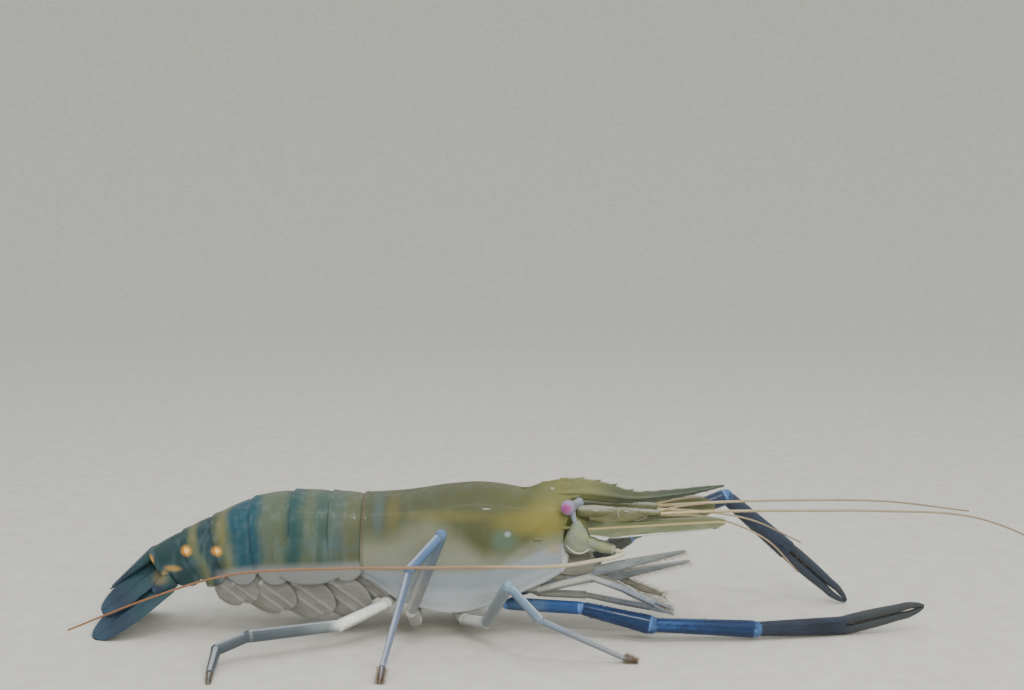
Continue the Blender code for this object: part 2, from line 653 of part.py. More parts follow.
def build_antenna(label, side):
    """Second feeler: a round base, the broad scale, the stalk and the long whip in three lengths."""
    base = mirrored(ANTENNA_BASE, side)
    end = mirrored(ANTENNA_PEDUNCLE_END, side)
    pieces = [ball("antenna_base_" + label, base, (5.0, ANTENNA_BASE_RADIUS, ANTENNA_BASE_RADIUS), 7, 10)]
    path = [between(base, end, t) for t in (0.1, 0.45, 0.6, 0.9, 1.0)]
    pieces.append(tube("peduncle", path, ANTENNA_PEDUNCLE_RADII, 8, flat=0.85))
    name = "antenna_base_" + label
    add_node(join(name, pieces), "scale", ["carapace", "mouthparts", "antennule_" + label])

    root = base + mirrored(SCALE_ROOTS[label], side)
    tip = root + mirrored(SCALE_REACHES[label], side)
    across = Vector((0, -side, SCALE_LEANS[label]))
    vane = leaf("antennal_scale_" + label, root, tip, across, SCALE_HALF_WIDTH, 1.1, scale_shape, 9, 5, 0.16)
    add_node(vane, "scale", [name, "antennule_" + label, "carapace"])

    points = smooth_path(ANTENNA_PATH[label], ANTENNA_POINTS, 1.4)
    for part, name_end in enumerate(("base", "middle", "tip")):
        first, last = ANTENNA_CUTS[part:part + 2]
        run = points[first:last + 1]
        sizes = [between(*ANTENNA_RADII, i / ANTENNA_CUTS[-1]) for i in range(first, last + 1)]
        run[0] = run[0] + (run[1] - run[0]).normalized() * GAP / 2
        run[-1] = run[-1] + (run[-2] - run[-1]).normalized() * GAP / 2
        whip = tube("antenna_whip_" + name_end + "_" + label, run, sizes, 4)
        add_node(whip, "feeler", [name] if part == 0 else [])


def segment_tube(name, start, end, radii, sides=6, extend=0.7):
    """Leg segment with rounded ends that sink into its neighbours, swollen at its far end."""
    ahead = (end - start).normalized()
    length = (end - start).length
    stations = ((-extend * radii[0], 0.55), (0.0, 0.95), (length, 1.0), (length + 0.6 * radii[1], 0.6))
    points = []
    sizes = []
    for travel, share in stations:
        points.append(start + ahead * travel)
        sizes.append(share * between(radii[0], radii[1], min(1.0, max(0.0, travel / length))))
    return tube(name, points, sizes, sides)


def flatten_foot(obj):
    """Level whatever would dip below the floor, so that it stands on a small flat."""
    for vertex in obj.data.vertices:
        vertex.co.z = max(vertex.co.z, 0.0)


def build_walking_leg(name):
    """Walking leg of six segments, fused at its joints, that ends in a small flat toe."""
    joints = [Vector(point) for point in LEG_JOINTS[name]]
    pieces = []
    for start, end, radii in zip(joints, joints[1:], LEG_RADII[name[:5]]):
        pieces.append(segment_tube(name, start, end, radii))
    leg = join(name, pieces)
    flatten_foot(leg)
    add_node(leg, "leg", ["sternum", "carapace"])


def build_first_leg(name):
    """Slender first leg with a small pincer."""
    joints = [Vector(point) for point in FIRST_LEG_JOINTS[name]]
    pieces = []
    for start, end, radii in zip(joints, joints[1:], FIRST_LEG_RADII):
        pieces.append(segment_tube(name, start, end, radii))
    ahead = (joints[-1] - joints[-2]).normalized()
    for lift in (FIRST_LEG_SPREAD, -FIRST_LEG_SPREAD):
        tip = joints[-1] + ahead * FIRST_LEG_FINGER + Vector((0, 0, lift * 1.4))
        start = joints[-1] + Vector((0, 0, lift))
        path = [start - ahead, between(start, tip, 0.5), tip]
        pieces.append(tube("finger", path, FIRST_LEG_FINGER_RADII, 6))
    add_node(join(name, pieces), "leg", ["sternum", "carapace", "mouthparts"])


def arm_cut(joints, index):
    """Plane that halves the bend of an arm at one of its joints."""
    before = (joints[index] - joints[index - 1]).normalized()
    after = (joints[index + 1] - joints[index]).normalized()
    return (before + after).normalized()


def spine_rows(start, end, radii):
    """Rows of small spines that lean forward along a straight segment of a big arm."""
    ahead, side, lift = path_frames([start, end], (0, 0, 1))[0]
    spines = []
    for turn in ARM_SPINE_TURNS:
        outward = side * math.cos(turn) + lift * math.sin(turn)
        for i in range(ARM_SPINES):
            t = (i + 0.7) / (ARM_SPINES + 0.4)
            radius = between(radii[0], radii[1], t)
            root = between(start, end, t) + outward * radius * 0.86
            spines.append(spine(root, outward + ahead * 0.9, *ARM_SPINE_SIZE))
    return spines


def build_arm(label):
    """Big arm: three long segments and the claw."""
    joints = [Vector(point) for point in ARM_JOINTS[label]]
    before = None
    for index, segment in enumerate(ARM_SEGMENTS):
        start = joints[index]
        end = joints[index + 1]
        ahead = (end - start).normalized()
        near, far = ARM_RADII[segment]
        cut_start = arm_cut(joints, index) if index else None
        cut_end = arm_cut(joints, index + 1)
        first = start + ahead * (GAP / 2 if index else 0.0)
        last = end - ahead * GAP / 2
        path = [between(first, last, t) for t in (0.0, 0.1, 0.3, 0.6, 0.85, 0.94, 1.0)]
        sizes = [between(near, far, t) * share for t, share in
                 ((0.0, 0.8), (0.1, 0.95), (0.3, 1.0), (0.6, 1.0), (0.85, 1.03), (0.94, 1.02), (1.0, 0.84))]
        name = "arm_" + segment + "_" + label
        pieces = [tube(name, path, sizes, 10, cut_start=cut_start, cut_end=cut_end)]
        if index:
            pieces += spine_rows(first, last, (near, far))
        arm = join(name, pieces)
        flatten_foot(arm)
        add_node(arm, "arm", [before] if before else ["sternum", "carapace"])
        before = name

    build_claw(label, joints)


def build_claw(label, joints):
    """Palm of a big arm with its fixed finger, and the moving finger above it, nearly closed."""
    wrist, knuckle, tip = joints[3:6]
    ahead, across, lift = path_frames([wrist, knuckle], (0, 0, 1))[0]
    first = wrist + ahead * GAP / 2
    path = [between(first, knuckle, t) for t in (0.0, 0.12, 0.4, 0.75, 1.0)]
    near, middle, far = PALM_RADII
    sizes = (near * 0.85, near * 1.05, middle, far, far * 0.9)
    pieces = [tube("arm_palm_" + label, path, sizes, 10, cut_start=arm_cut(joints, 3))]
    pieces += spine_rows(first, knuckle, (middle, far))
    sizes = [FINGER_RADIUS * share for share in FINGER_SHARES]
    fingers = []
    for level, sink in ((-1, 2.4), (1, 0.0)):
        points = []
        for t, size in zip(FINGER_PLACES, sizes):
            spread = size * FINGER_FLATNESS + GAP / 2 + FINGER_OPENING * math.sin(math.pi * t)
            points.append(between(knuckle, tip, t) + lift * spread * level)
        points[0] = points[0] - ahead * sink
        fingers.append(tube("finger", points, sizes, 8, flat=FINGER_FLATNESS))
    pieces.append(fingers[0])
    palm = join("arm_palm_" + label, pieces)
    flatten_foot(palm)
    add_node(palm, "claw", ["arm_carpus_" + label])
    fingers[1].name = "arm_finger_" + label
    flatten_foot(fingers[1])
    add_node(fingers[1], "claw", ["arm_palm_" + label])


def build_jaw_leg(label):
    """Third jaw leg, reaching forward below the feeler bases."""
    joints = [Vector(point) for point in JAW_LEG_JOINTS[label]]
    pieces = []
    for start, end, radii in zip(joints, joints[1:], JAW_LEG_RADII):
        pieces.append(segment_tube("jaw_leg_" + label, start, end, radii))
    name = "jaw_leg_" + label
    add_node(join(name, pieces), "belly", ["sternum", "carapace", "mouthparts", "leg_1_" + label])


def ring_line(part, s):
    """Coordinate of the hind body's back, lower edge or half width at ring number s."""
    if part == "width":
        return smooth([(i, ring[2]) for i, ring in enumerate(RINGS)], s)
    index = 0 if part == "back" else 1
    return Vector((smooth([(i, ring[index][0]) for i, ring in enumerate(RINGS)], s), 0,
                   smooth([(i, ring[index][1]) for i, ring in enumerate(RINGS)], s)))


def abdomen_ring(s, lobe, flare, shift):
    """Section of the hind body: a tall arch over a shallow hollow between the side lobes."""
    back = ring_line("back", s)
    low = ring_line("low", s)
    half = ring_line("width", s) * flare
    upright = (back - low).normalized()
    height = (back - low).length * between(1.0, flare, 0.4)
    travel = upright.cross(Vector((0, 1, 0))) * shift
    waist = 0.44 * height
    tip = 0.15 * height * lobe
    section = []
    for i in range(7):
        turn = math.pi / 2 * i / 6
        section.append((half * math.sin(turn) ** 0.88, waist + (height - waist) * math.cos(turn) ** 0.88))
    section += [(0.97 * half, between(tip, waist, 0.45)), (0.90 * half, tip), (0.90 * half - 1.8, tip + 0.5),
                (0.72 * half, 0.24 * height), (0.0, 0.27 * height)]
    return full_ring(section, lambda y, h: low + travel + upright * h + Vector((0, y, 0)))


def build_abdomen():
    """Six rings of shell, each a little wider at its hind edge than the next one's front."""
    for index in range(6):
        rings = []
        for t in (0.0, 0.18, 0.42, 0.68, 0.88, 1.0):
            lobe = abs(2 * t - 1) ** 2.5
            flare = between(0.972, 1.012, t)
            shift = GAP / 2 * (1 if t == 0.0 else -1 if t == 1.0 else 0)
            rings.append(abdomen_ring(index + t, lobe, flare, shift))
        name = "abdomen_" + str(index + 1)
        pieces = [loft(name, rings)]
        if index == 1:
            for side in SIDES.values():
                pieces.append(side_lobe(side))
        nodes[name] = join(name, pieces)
    for index in range(6):
        name = "abdomen_" + str(index + 1)
        fit = ["abdomen_2"] if index in (0, 2) else []
        if index == 0:
            fit.append("carapace")
        add_node(nodes[name], "abdomen", fit)


def side_lobe(side):
    """Broad rounded lobe of the second ring, which overlaps its neighbours on each flank."""
    middle = 1.5
    reach = 0.62
    rings = []
    for level, grow in ((1.2, 0.0), (0.9, 0.62), (0.3, 1.0), (-0.8, 0.97), (-0.8, 0.0)):
        ring = []
        for i in range(12):
            turn = 2 * math.pi * i / 12
            s = middle + reach * max(grow, 0.12) * math.cos(turn)
            back = ring_line("back", s)
            low = ring_line("low", s)
            height = (back - low).length
            h = height * (0.235 + 0.245 * max(grow, 0.12) * math.sin(turn))
            half = ring_line("width", s)
            waist = 0.44 * height
            y = half * (0.90 + 0.07 * min(1.0, h / (0.5 * waist)) + 0.03 * min(1.0, h / waist)) + level
            ring.append(low + (back - low).normalized() * h + Vector((0, side * y, 0)))
        rings.append(ring)
    return loft("lobe", rings)


def blade_shape(t):
    """Width shares of a tail fan blade."""
    width = min(1.0, 0.84 + 0.5 * t) * math.sqrt(max(0.0, 1 - max(0.0, (t - 0.55) / 0.47) ** 2))
    return max(width, 0.16), max(width, 0.16)


def build_tail_fan():
    """Telson and two pairs of overlapping blades."""
    root = Vector(TELSON[0])
    tip = Vector(TELSON[1])
    ahead = (tip - root).normalized()
    lift = ahead.cross(Vector((0, 1, 0)))
    rings = []
    for t in (0.0, 0.15, 0.4, 0.7, 0.92, 1.0):
        half = between(*TELSON_HALF_WIDTHS, t ** 0.9) * (1.0 if t < 0.95 else 0.5)
        high = between(*TELSON_HEIGHTS, t)
        low = between(*TELSON_DEPTHS, t)
        section = [(0.0, high), (0.55 * half, 0.8 * high), (half, 0.1), (0.6 * half, -0.8 * low), (0.0, -low)]
        middle = between(root, tip, t)
        rings.append(full_ring(section, lambda y, z: middle + Vector((0, y, 0)) + lift * z))
    add_node(loft("telson", rings), "tail", ["abdomen_6"])
    for kind, (root, tip, half_width, steep) in FAN_BLADES.items():
        for label, side in SIDES.items():
            start = mirrored(root, side)
            end = mirrored(tip, side)
            ahead = (end - start).normalized()
            across = Vector((0.75 * steep, side, -0.66 * steep))
            name = kind + "_" + label
            vane = leaf(name, start, end, across, half_width, 1.2, blade_shape, 8, 5, 0.10 * side)
            pieces = [vane]
            if kind == "uropod_exopod":
                path = [start + ahead * reach for reach in (FAN_STEM_REACH[0], 1.5, FAN_STEM_REACH[1])]
                pieces.append(tube("stem", path, FAN_STEM_RADII, 8))
            blade = join(name, pieces)
            flatten_foot(blade)
            fit = ["abdomen_6", "telson"]
            if kind == "uropod_exopod":
                fit.append("uropod_endopod_" + label)
            add_node(blade, "tail", fit)


def swimmeret_shape(t):
    """Width shares of a swimmeret blade."""
    width = min(1.0, 0.5 + 1.6 * t) * math.sqrt(max(0.0, 1 - max(0.0, (t - 0.5) / 0.52) ** 2))
    return max(width, 0.2), max(width, 0.2)


def build_swimmerets():
    """Five pairs of swimmerets, each a short stem with two leaf blades laid forward."""
    for index, length in enumerate(SWIMMERET_LENGTHS):
        low = ring_line("low", index + 0.5)
        half = ring_line("width", index + 0.5)
        for label, side in SIDES.items():
            root = Vector((low.x - 0.5, side * half * 0.52, low.z + 5.0))
            knee = root + Vector((1.0, side * 0.6, -SWIMMERET_DROP))
            name = "swimmeret_" + str(index + 1) + "_" + label
            pieces = [tube(name, [root, knee], (2.2, 1.7), 5)]
            for reach, offset, share in ((1.0, 0.9, 1.0), (0.8, -1.3, 0.75)):
                start = knee + Vector((-0.6, side * offset, 1.4))
                tip = start + Vector(SWIMMERET_AHEAD) * length * reach
                half_width = SWIMMERET_HALF_WIDTHS[index] * share
                across = mirrored(SWIMMERET_ACROSS, side)
                pieces.append(leaf("blade", start, tip, across, half_width, 0.9, swimmeret_shape, 4, 3, 0.10))
            fit = ["abdomen_" + str(index + 1), "carapace"]
            if index:
                fit.append("swimmeret_" + str(index) + "_" + label)
            add_node(join(name, pieces), "swimmeret", fit)


def place_in_world():
    """Turn millimetres into metres and hang every node on an empty that centres the animal."""
    holder = bpy.data.objects.new("prawn", None)
    holder.location = (-MIDDLE_X * MM, -MIDDLE_Y * MM, 0.0)
    bpy.context.collection.objects.link(holder)
    for obj in nodes.values():
        for vertex in obj.data.vertices:
            vertex.co *= MM
        obj.data.shade_smooth()
        obj.data.set_sharp_from_angle(angle=math.radians(40))
        obj.parent = holder


def main():
    for obj in list(bpy.data.objects):
        bpy.data.objects.remove(obj)
    build_carapace()
    build_sternum()
    build_mouth()
    build_eyes()
    for label, side in SIDES.items():
        build_antennule(label, side)
        build_antenna(label, side)
    for name in LEG_JOINTS:
        build_walking_leg(name)
    for name in FIRST_LEG_JOINTS:
        build_first_leg(name)
    for label in SIDES:
        build_arm(label)
        build_jaw_leg(label)
    build_abdomen()
    build_tail_fan()
    build_swimmerets()
    place_in_world()


main()
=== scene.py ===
"""Giant river prawn: the finished surface of the still, life-size model.

Each solid of the frame gets one finely shaped shell piece with its own markings.
Sizes are in millimetres in the body's own frame: x runs forward from the hind
edge of the carapace, y to the animal's left, z up from the floor.
"""
from math import pi, radians

import bmesh
import bpy
import numpy as np
from numpy import (arange, array, broadcast_to, clip, column_stack, concatenate, cos, cross, exp, interp,
                   linspace, maximum, minimum, sin, sqrt, stack, vstack, where)
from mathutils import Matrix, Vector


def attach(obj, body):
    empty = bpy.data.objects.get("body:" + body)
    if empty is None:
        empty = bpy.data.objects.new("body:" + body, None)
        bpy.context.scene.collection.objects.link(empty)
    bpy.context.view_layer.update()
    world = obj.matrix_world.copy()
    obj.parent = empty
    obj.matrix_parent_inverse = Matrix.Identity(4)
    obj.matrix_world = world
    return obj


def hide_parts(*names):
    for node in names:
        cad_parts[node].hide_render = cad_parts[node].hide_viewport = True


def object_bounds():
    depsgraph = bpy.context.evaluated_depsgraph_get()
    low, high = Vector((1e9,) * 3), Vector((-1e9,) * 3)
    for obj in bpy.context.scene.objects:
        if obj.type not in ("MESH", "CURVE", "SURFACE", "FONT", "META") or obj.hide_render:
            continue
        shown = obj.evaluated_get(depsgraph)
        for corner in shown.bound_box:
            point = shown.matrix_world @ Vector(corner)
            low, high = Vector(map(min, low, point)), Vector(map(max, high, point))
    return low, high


MM = 0.001
MIDDLE_X = 76.7
MIDDLE_Y = 3.8
SIDES = {"R": -1, "L": 1}
RANDOM_SEED = 11
SHARP_ANGLE = 55

# Marks of tone that stand for a dark spine and for the pale rim of a clear shell
SPINE_TONE = 1.6
RIM_TONE = 0.95

# Hairs: shares of their length and radius, and the layout of their patches on their map
HAIR_PROFILE = ((-0.08, 1.0), (0.35, 0.8), (0.7, 0.5), (1.0, 0.08))
PATCH_COLUMNS = 240
PATCH_STEP = 0.004
PATCH_SIZE = 0.003

# Camera, placed from the photograph's horizon and the animal's size
CAMERA_PLACE = (-0.0227, -0.5268, 0.160)
CAMERA_PITCH = 5.86
CAMERA_LENS = 50.0
SENSOR_WIDTH = 36.0

# Floor, in metres: half its width, where it stays flat, how it curves up beyond, its gap to the feet
FLOOR_REACH = 3.6
FLOOR_FLAT = 1.2
FLOOR_RISE = 0.28
FLOOR_GAP = 0.0003

# Daylight, and lamps in metres: place, turn, size, power and whether they are seen mirrored
SKY_COLOUR = (0.86, 0.90, 0.93, 1.0)
SKY_STRENGTH = 1.05
LAMPS = (
    ("sky", (0.05, -0.15, 1.1), (0, 0, 0), (0.9, 0.9), 3.0, False),
    ("glint", (0.06, -0.42, 0.80), (28, 0, 0), (0.05, 0.05), 0.9, True),
    ("strip", (-0.02, -0.30, 0.95), (18, 0, 0), (0.60, 0.02), 0.7, True),
    ("window", (0.25, -0.95, 0.50), (64, 0, 15), (0.6, 0.6), 7.2, False),
)

# Carapace: back line, lower edge and half width along its length, and how its margins turn in
CARAPACE_LENGTH = 74.0
CARAPACE_HALF_WIDTH = 20.0
SHELL_LIP = 3.5
BACK_LINE = ((0, 50.6), (15, 51.7), (33, 54.2), (42, 54.7), (50, 54.0), (59, 52.4), (68, 51.0), (78, 49.5))
LOWER_EDGE = ((0, 22.4), (4, 19.8), (11.4, 14.6), (20, 11.2), (31, 9.2), (45, 11.4), (59, 17.2),
              (67, 21.6), (71.5, 25.2), (74, 29.0))
CARAPACE_WIDTHS = ((0, 0.89), (12, 0.96), (30, 1.0), (45, 0.97), (60, 0.85), (70, 0.73), (78, 0.62))
MIDDLE_LINE = 36.0
HIND_TURNS = ((0.90, 3.0), (0.955, 0.6), (0.985, -0.2))
FRONT_TURNS = ((0.985, 0.25), (0.95, -0.4), (0.90, -2.2), (0.82, -5.0))
EYE_SOCKET = (79.5, 9.6, 48.6)
EYE_SOCKET_RADII = (5.6, 6.4, 4.6)
FACE = (74, 0, 39.5)
FACE_RADII = (10.0, 9.5, 9.6)
ANTENNAL_SPINE = (72.6, 13.6, 40.6)
HEPATIC_SPINE = (62.5, 16.0, 37.0)

# Rostrum: upper and lower edge, thickness along it and from top to bottom, and teeth
ROSTRUM_TIP = 133.2
ROSTRUM_TOP = ((52, 52.0), (60, 52.9), (66, 54.9), (77, 56.3), (89, 54.6), (99, 51.5), (112, 51.9),
               (125, 53.2), (133.2, 53.9))
ROSTRUM_LOW = ((52, 46.0), (80, 48.3), (95, 46.9), (105, 47.7), (118, 49.4), (133.2, 53.1))
ROSTRUM_THICKNESS = ((52, 2.4), (75, 2.2), (100, 1.5), (125, 0.9), (133.2, 0.4))
ROSTRUM_PROFILE = ((0, 0.10), (0.05, 0.24), (0.16, 0.32), (0.42, 0.46), (0.56, 0.95), (0.62, 0.95),
                   (0.80, 0.45), (0.95, 0.25), (1.0, 0.10))
DORSAL_TEETH = 12
VENTRAL_TEETH = 9

# Hind body: back x and z, lower edge x and z, and half width where each ring begins, and how a ring
# widens along its length, how far it lies over the next and which corner of it is its lower edge
RINGS = (
    (0.0, 50.3, 0.5, 22.4, 17.4),
    (-12.2, 51.2, -12.0, 21.0, 18.0),
    (-26.4, 51.6, -25.8, 20.2, 17.6),
    (-41.8, 49.2, -38.5, 19.8, 16.4),
    (-57.0, 42.6, -50.0, 19.4, 14.4),
    (-68.5, 37.0, -59.5, 18.4, 12.0),
    (-81.5, 29.8, -72.0, 17.4, 8.8),
)
RING_FLARE = ((-0.05, 0.945), (0.0, 0.955), (0.10, 0.985), (0.5, 1.0), (0.9, 1.012), (1.0, 1.022),
              (1.055, 1.018))
RING_OVERLAP = 0.055
RING_EDGE_CORNER = 68
WIDE_RING = 1

# Belly plate
STERNUM_LOW = ((3, 17.0), (10, 12.0), (20, 8.0), (31, 5.6), (45, 7.6), (55, 11.2), (64, 16.0))
STERNUM_WIDTHS = ((3, 4.5), (12, 8.0), (31, 9.5), (45, 9.0), (55, 7.5), (64, 5.0))

# Limb segments: share of the radius along a segment and along a toe
SEGMENT_PROFILE = ((-0.03, 0.78), (-0.012, 0.88), (0.0, 0.93), (0.06, 0.97), (0.5, 1.0), (0.90, 1.02),
                   (0.97, 1.03), (0.99, 0.99), (1.0, 0.95), (1.012, 0.85))
TOE_PROFILE = ((-0.03, 0.5), (0.0, 0.9), (0.08, 1.0), (0.95, 1.0), (1.0, 0.8), (1.012, 0.3))

# Walking legs: joints from the belly to the toe, radii at the ends of each segment, toe hair lengths
LEG_JOINTS = {
    "leg_3_R": ((34, -7, 7.2), (37, -14.5, 6.6), (44.6, -22, 7.6), (52.7, -43, 27.1), (63.6, -47, 16.1),
                (92.5, -43, 1.7), (97.5, -43.2, 0.2)),
    "leg_3_L": ((34, 7, 7.2), (36, 14.5, 6.6), (39, 23, 8.4), (41, 40, 31.0), (48, 46, 18.5),
                (60, 69, 2.0), (62, 73, 0.2)),
    "leg_4_R": ((18, -7, 8.4), (18.6, -15, 6.0), (17.5, -22, 11.7), (29.2, -35, 43.1), (18.5, -43, 32.4),
                (10.6, -60, 4.2), (10.0, -65, 0.2)),
    "leg_4_L": ((18, 7, 8.4), (18.6, 15, 6.0), (17, 22, 11.7), (20, 36, 42.4), (9.5, 43, 31.5),
                (0.5, 62, 4.4), (-0.4, 67, 0.2)),
    "leg_5_R": ((9, -5, 12.6), (7.6, -14, 12.2), (-7.8, -25, 7.6), (-38.1, -40, 8.2), (-48.2, -44.5, 5.0),
                (-47.6, -59, 1.6), (-46.8, -65.5, 0.2)),
    "leg_5_L": ((9, 5, 12.6), (7.6, 14, 12.2), (-6, 25, 9.0), (-34, 40, 15.0), (-45, 46, 9.0),
                (-58, 65, 1.8), (-60, 69, 0.2)),
}
LEG_RADII = {
    "leg_3": ((2.6, 2.3), (2.1, 2.2), (2.15, 2.1), (1.5, 1.6), (1.2, 0.95), (0.9, 0.42)),
    "leg_4": ((2.6, 2.3), (2.1, 2.2), (2.15, 2.1), (1.6, 1.8), (1.45, 1.0), (0.9, 0.42)),
    "leg_5": ((2.6, 2.3), (2.1, 2.2), (2.15, 2.2), (2.0, 2.1), (1.9, 1.3), (1.0, 0.42)),
}
TOE_HAIRS = {"leg_3": 1.9, "leg_4": 1.9, "leg_5": 0.8}

# First legs, which end in a small pincer
FIRST_LEG_JOINTS = {
    "leg_1_R": ((58, -4, 15.6), (64.7, -8, 16.2), (82.9, -14, 22.2), (94.5, -13.2, 17.8),
                (106, -12.5, 12.2)),
    "leg_1_L": ((58, 4, 14.6), (65, 7, 10.6), (82.4, 10, 9.0), (97, 9.2, 6.2), (107, 8.6, 4.6)),
}
FIRST_LEG_RADII = ((1.7, 1.6), (1.5, 1.5), (1.15, 1.25), (1.3, 1.3))
FIRST_LEG_FINGER = 8.5

# Big arms: joints, then each segment's shell, radii and what sets its spines apart
ARM_JOINTS = {
    "R": ((52, -6.5, 10.4), (79.3, -15, 11.1), (104.6, -18.5, 5.8), (142.9, -16.3, 3.6), (176.0, -10.5, 3.1),
          (208.0, -4.0, 8.6)),
    "L": ((52, 6.5, 10.4), (77.0, 15.0, 15.5), (99.5, 22.0, 29.5), (138.5, 30, 43.0), (163.0, 30, 21.6),
          (187.0, 30, 0.7)),
}
ARM_SEGMENTS = (
    ("ischium", "arm_root_shell", (2.4, 2.3), (7, 1.6, 0.5)),
    ("merus", "arm_shell", (2.4, 3.4), ()),
    ("carpus", "arm_shell", (2.5, 3.1), ()),
)
PALM_PLACES = (-0.03, 0.0, 0.06, 0.3, 0.8, 1.0, 1.03)
PALM_RADII = ((1.5, 2.1, 2.5, 2.8, 2.9, 2.2, 1.7), (1.5, 2.1, 2.6, 2.9, 3.3, 3.45, 3.1))
PALM_SPINE_RADII = (2.6, 3.3)
FINGER_RADIUS = 2.0
FINGER_SHARES = ((0.0, 0.95), (0.18, 1.0), (0.4, 0.98), (0.62, 0.88), (0.82, 0.70), (0.94, 0.48),
                 (1.0, 0.2))
FINGER_TEETH = ((0.14, 0.6), (0.24, 0.5), (0.34, 0.3), (0.42, 0.3), (0.50, 0.3))
FINGER_FLATNESS = 0.92
FINGER_SLIT = 0.40
PALM_GROWTH = {"R": 1.0, "L": 1.12}

# Head
EYE = (74.4, 14.2, 48.2)
EYE_RADIUS = 2.8
EYESTALK_ROOT = (78.4, 2.8, 47.5)
EYESTALK_PROFILE = ((0, 1.5), (0.15, 1.75), (0.3, 1.55), (0.42, 1.65), (0.7, 2.1), (0.9, 2.62), (1.0, 2.66))
EYESTALK_FOOT = ((1.6, -0.8, -1.2), (2.2, -0.6, -4.2), (3.2, -0.2, -7.2))
ANTENNULE_JOINTS = ((79.0, 5.4, 44.6), (92.0, 6.2, 44.6), (101.0, 6.2, 44.5), (108.8, 6.0, 44.3))
ANTENNULE_RADII = ((3.1, 3.7, 3.0), (2.8, 2.65, 2.4), (2.25, 2.1, 1.8))
ANTENNULE_PROFILE = ((0, 0.9), (0.08, 1.0), (0.86, 1.0), (0.94, 1.02), (0.98, 0.99), (1.0, 0.88))
ANTENNULE_LOBE = ((82.5, 8.2, 43.8), (103.5, 9.2, 44.0))
ANTENNULE_ARCS = ((96.4, 3.4, 3.0, 0.6, 1.35), (99.4, 4.4, 2.2, 1.05, 1.95))
ANTENNA_BASE = (78.4, 13.2, 36.0)
ANTENNA_BASE_RADII = (4.4, 4.6, 4.9)
BELL_REACH = (-4.9, 7.2)
BELL_PROFILE = ((0, 2.6), (0.10, 4.5), (0.30, 5.1), (0.55, 4.5), (0.80, 2.7), (1.0, 1.3))
PEDUNCLE_END = (91.4, 16.2, 33.1)
PEDUNCLE_PROFILE = ((0, 2.8), (0.30, 2.9), (0.42, 3.0), (0.50, 2.5), (0.56, 2.6), (0.62, 2.75), (0.75, 2.5),
                    (0.88, 2.2), (0.94, 2.15), (0.985, 1.8), (1.0, 1.0))
SCALE_ROOTS = {"R": (3.6, -0.4, 2.6), "L": (3.6, 2.0, 4.2)}
SCALE_REACHES = {"R": (50.0, 0.8, 3.0), "L": (50.0, -0.4, 1.6)}
SCALE_HALF_WIDTH = 6.8
SCALE_LEANS = {"R": 0.32, "L": 2.2}

# Long feelers of the second pair, ringed like the first pair's
WHIP_RING = 0.9
ANTENNA_PATH = {
    "R": ((91.8, -16.3, 33.0), (94.0, -18.0, 32.4), (91.0, -22.0, 31.9), (84.4, -26.0, 31.7),
          (72.7, -32.0, 31.4), (63.8, -37.0, 32.2), (49.9, -42.0, 33.5), (19.3, -50.0, 35.3),
          (-4.1, -53.0, 35.9), (-46.2, -54.0, 32.9), (-68.5, -53.0, 25.7), (-97.9, -49.0, 13.3)),
    "L": ((91.8, 16.3, 33.0), (94.2, 18.2, 33.0), (91.5, 22.5, 33.4), (84.0, 28.0, 33.8),
          (72.0, 34.0, 34.0), (50.0, 44.0, 34.6), (19.0, 54.0, 35.2), (-10.0, 60.0, 34.2),
          (-46.0, 64.0, 30.0), (-70.0, 65.0, 24.0), (-97.0, 63.0, 14.0)),
}
ANTENNA_RADII = (0.85, 0.3)
ANTENNA_CUTS = (0.0, 0.34, 0.69, 1.0)

# Feelers of the first pair
ANTENNULE_PATHS = {
    "R": (
        ((108.8, -6.8, 44.4), (123.3, -8.0, 45.3), (166.6, -12.0, 46.7), (188.0, -14.0, 47.0),
         (225.7, -16.0, 44.1), (240.1, -16.0, 38.6), (254.0, -15.0, 30.0)),
        ((108.8, -5.2, 43.6), (126.2, -6.0, 43.0), (136.6, -8.0, 40.6), (147.8, -10.0, 35.2),
         (159.0, -12.0, 23.7)),
        ((108.8, -6.0, 45.4), (116.0, -6.2, 47.0), (127.0, -6.4, 48.2)),
    ),
    "L": (
        ((108.8, 6.8, 44.4), (124.0, 8.5, 45.0), (165.0, 16.0, 44.6), (200.0, 26.0, 42.0),
         (238.0, 40.0, 35.0)),
        ((108.8, 5.2, 43.6), (128.0, 7.0, 42.0), (146.0, 13.0, 37.5), (166.0, 18.0, 27.5)),
        ((108.8, 6.0, 45.4), (116.0, 6.6, 46.8), (126.0, 8.0, 47.6)),
    ),
}
ANTENNULE_WHIP_RADII = ((0.6, 0.3), (0.45, 0.28), (0.4, 0.28))

# Third jaw legs and mouth
JAW_LEG_JOINTS = {
    "R": ((64, -5, 18.4), (78, -6.6, 21.0), (95, -7.2, 25.2), (118, -7, 30.4)),
    "L": ((64, 5, 17.4), (78, 6.0, 16.4), (95, 5.6, 18.0), (121, 5, 23.6)),
}
JAW_LEG_RADII = ((1.9, 2.2), (2.1, 1.9), (1.9, 0.6))
MOUTH = (75, 0, 26.0)
MOUTH_RADII = (8.6, 8.0, 9.5)
LIP = (82, 0, 23.5)
LIP_RADII = (4.5, 4.5, 4.0)
CHEEK_PLATES = (((66, 7.2, 27.0), (84.5, 7.6, 25.0), 4.4), ((66, 6.6, 22.5), (83.0, 6.8, 20.5), 3.6))

